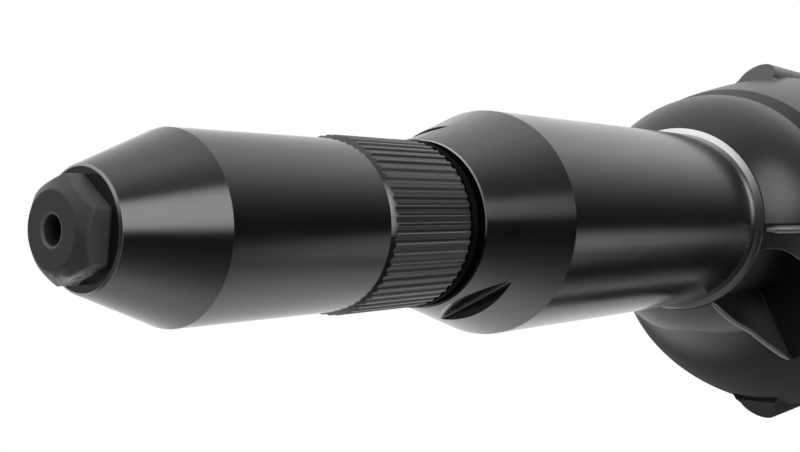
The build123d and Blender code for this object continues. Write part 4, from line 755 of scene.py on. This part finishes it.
# %% Grip panels
PANELS = (("handle_left", "grip_panel_left", -1.0), ("handle_right", "grip_panel_right", 1.0))
PANEL_HEIGHTS, PANEL_ANGLES = (-58.0, -134.0), (3.5, 70.0)
PANEL_RIBS, PANEL_RIB_HEIGHT, PANEL_RIB_FADE, PANEL_THICKNESS = 8, 0.7, 8.0, 0.7
PANEL_ROWS, PANEL_COLUMNS = 96, 24
WAIST, PALM = Vector((287.0, 0.0, -74.0)), Vector((293.0, 0.0, -116.0))
OUTSIDE_GRIP = 60.0
down_grip = (PALM - WAIST).normalized()
back_grip = Vector((-down_grip.z, 0.0, down_grip.x))


def axis_at(z):
    """The point of the grip's slanting middle line at a height."""
    return WAIST + (PALM - WAIST) * ((z - WAIST.z) / (PALM.z - WAIST.z))


def grip_panel(half, side):
    """A ribbed sheet on the palm side of a handle half."""
    half_skin = skin_of(half)
    sheet = bmesh.new()
    bmesh.ops.create_grid(sheet, x_segments=PANEL_COLUMNS, y_segments=PANEL_ROWS, size=1.0)
    for vert in sheet.verts:
        around, down = 0.5 + 0.5 * vert.co.x, 0.5 - 0.5 * vert.co.y
        angle = math.radians(part_way(PANEL_ANGLES, around))
        out = back_grip * math.cos(angle) + Vector((0.0, side * math.sin(angle), 0.0))
        middle = axis_at(part_way(PANEL_HEIGHTS, down))
        hit = half_skin.ray_cast((middle + out * OUTSIDE_GRIP) * MM, -out)[0]
        fade = min(1.0, PANEL_RIB_FADE * around, PANEL_RIB_FADE * (1.0 - around))
        wave = math.sin(math.pi * PANEL_RIBS * down) ** 2 * fade
        vert.co = hit + out * PANEL_RIB_HEIGHT * wave * MM
    face_toward(sheet, back_grip)
    return sheet


for half, name, side in PANELS:
    panel = settle(grip_panel(half, side), name, "frame", finishes["seal_rubber"])
    thicken(panel, PANEL_THICKNESS, offset=1.0)

# %% [markdown]
# The room is a white tent with a long dark opening on the near side, where the viewer stands, and one
# soft lamp panel in front of the nose. On black metal these are the picture: the tent gives the pale
# edges, the opening the dark middle of the barrel, and the panel the glow on the cones. The room is part
# of the world and depends on direction only, so it stays where it is when the viewer walks round. Behind
# the tool the viewer sees plain white. Shades and lights are round patches: azimuth and elevation of the
# middle, the angles at which the patch begins and ends to fade, and how strong it is.

# %% Room
OPENING_DEPTH, OPENING_POWER = 0.96, 1.35
SHADES = {
    "viewer": (-20.0, 0.0, 35.0, 85.0, 0.5),
    "table": (72.0, -20.0, 3.0, 16.0, 0.98),
    "far end": (88.0, -22.0, 6.0, 24.0, 0.5),
    "front": (-85.0, -32.0, 30.0, 62.0, 0.92),
    "behind": (-140.0, -5.0, 15.0, 45.0, 0.7),
}
LIGHTS = {
    "lamp panel": (-8.0, 20.0, 12.0, 28.0, 3.0),
    "panel edge": (18.0, 13.0, 3.0, 13.0, 0.7),
    "table edge": (58.0, -17.0, 3.0, 14.0, 0.4),
    "table corner": (63.5, -10.0, 2.0, 6.5, 0.45),
}
world = bpy.data.worlds.new("room")
bpy.context.scene.world = world
world.use_nodes = True
room = world.node_tree
ray = add(room, "ShaderNodeTexCoord").outputs["Generated"]


def toward(azimuth, elevation):
    """A direction: azimuth 0 is -Y, 90 is +X; both in degrees."""
    a, e = math.radians(azimuth), math.radians(elevation)
    return Vector((math.sin(a) * math.cos(e), -math.cos(a) * math.cos(e), math.sin(e)))


def dot_with(vector, direction):
    made = add(room, "ShaderNodeVectorMath", {0: vector, 1: direction}, operation="DOT_PRODUCT")
    return made.outputs["Value"]


def patch_of(azimuth, elevation, inner, outer, strength):
    """A round patch of the room, at its strength inside and falling to 0 between two angles."""
    near, far = math.cos(math.radians(inner)), math.cos(math.radians(outer))
    inside = remap(room, dot_with(ray, toward(azimuth, elevation)), far, near, 0.0, 1.0, smooth=True)
    return calc(room, "MULTIPLY", inside, strength)


across = add(room, "ShaderNodeVectorMath", {0: ray, 1: (0.0, 1.0, 1.0)}, operation="MULTIPLY").outputs[0]
across = add(room, "ShaderNodeVectorMath", {0: across}, operation="NORMALIZE").outputs[0]
near_side = calc(room, "MAXIMUM", dot_with(across, (0.0, -1.0, 0.0)), 0.0)
opening = calc(room, "MULTIPLY", calc(room, "POWER", near_side, OPENING_POWER), OPENING_DEPTH)
light = calc(room, "SUBTRACT", 1.0, opening)
for shade in SHADES.values():
    light = calc(room, "MULTIPLY", light, calc(room, "SUBTRACT", 1.0, patch_of(*shade)))
for lamp in LIGHTS.values():
    light = calc(room, "ADD", light, patch_of(*lamp))
seen = add(room, "ShaderNodeLightPath").outputs["Is Camera Ray"]
strength = add(room, "ShaderNodeMix", {0: seen, 2: light, 3: 1.0}, data_type="FLOAT").outputs[0]
background = room.nodes["Background"]
background.inputs["Color"].default_value = grey(1.0)
room.links.new(strength, background.inputs["Strength"])
print("room has", len(room.nodes), "nodes")

# %% [markdown]
# Under the tool lies a pale round floor that keeps its soft shadow. Towards its rim it fades away, so
# the white room takes over and no horizon shows. The black metal mirrors the room and not the floor.

# %% Floor
FLOOR_R, FLOOR_SIDES, FLOOR_FADE = 0.75, 96, (0.22, 0.7)
FLOOR_GREY, FLOOR_ROUGHNESS = grey(0.9), 0.9
FLOOR_MIDDLE = Vector((0.16, 0.0, cad_low.z))
shape = bmesh.new()
bmesh.ops.create_circle(shape, cap_ends=True, segments=FLOOR_SIDES, radius=FLOOR_R)
bmesh.ops.translate(shape, verts=shape.verts, vec=FLOOR_MIDDLE)
floor_mesh = bpy.data.meshes.new("floor")
shape.to_mesh(floor_mesh)
shape.free()
floor = bpy.data.objects.new("floor", floor_mesh)
bpy.context.scene.collection.objects.link(floor)
material, tree, shader, place = new_finish("floor_pale")
shader.inputs["Base Color"].default_value = FLOOR_GREY
shader.inputs["Roughness"].default_value = FLOOR_ROUGHNESS
away = add(tree, "ShaderNodeVectorMath", {0: place, 1: FLOOR_MIDDLE}, operation="DISTANCE").outputs["Value"]
fade = remap(tree, away, FLOOR_FADE[0] * FLOOR_R, FLOOR_FADE[1] * FLOOR_R, 0.0, 1.0, smooth=True)
mirrored = add(tree, "ShaderNodeLightPath").outputs["Is Glossy Ray"]
fade = calc(tree, "MAXIMUM", fade, mirrored)
clear = add(tree, "ShaderNodeBsdfTransparent").outputs[0]
mix = add(tree, "ShaderNodeMixShader", {0: fade, 1: shader.outputs[0], 2: clear}).outputs[0]
tree.links.new(mix, tree.nodes["Material Output"].inputs["Surface"])
floor_mesh.materials.append(material)
print("floor at", round(FLOOR_MIDDLE.z, 3))
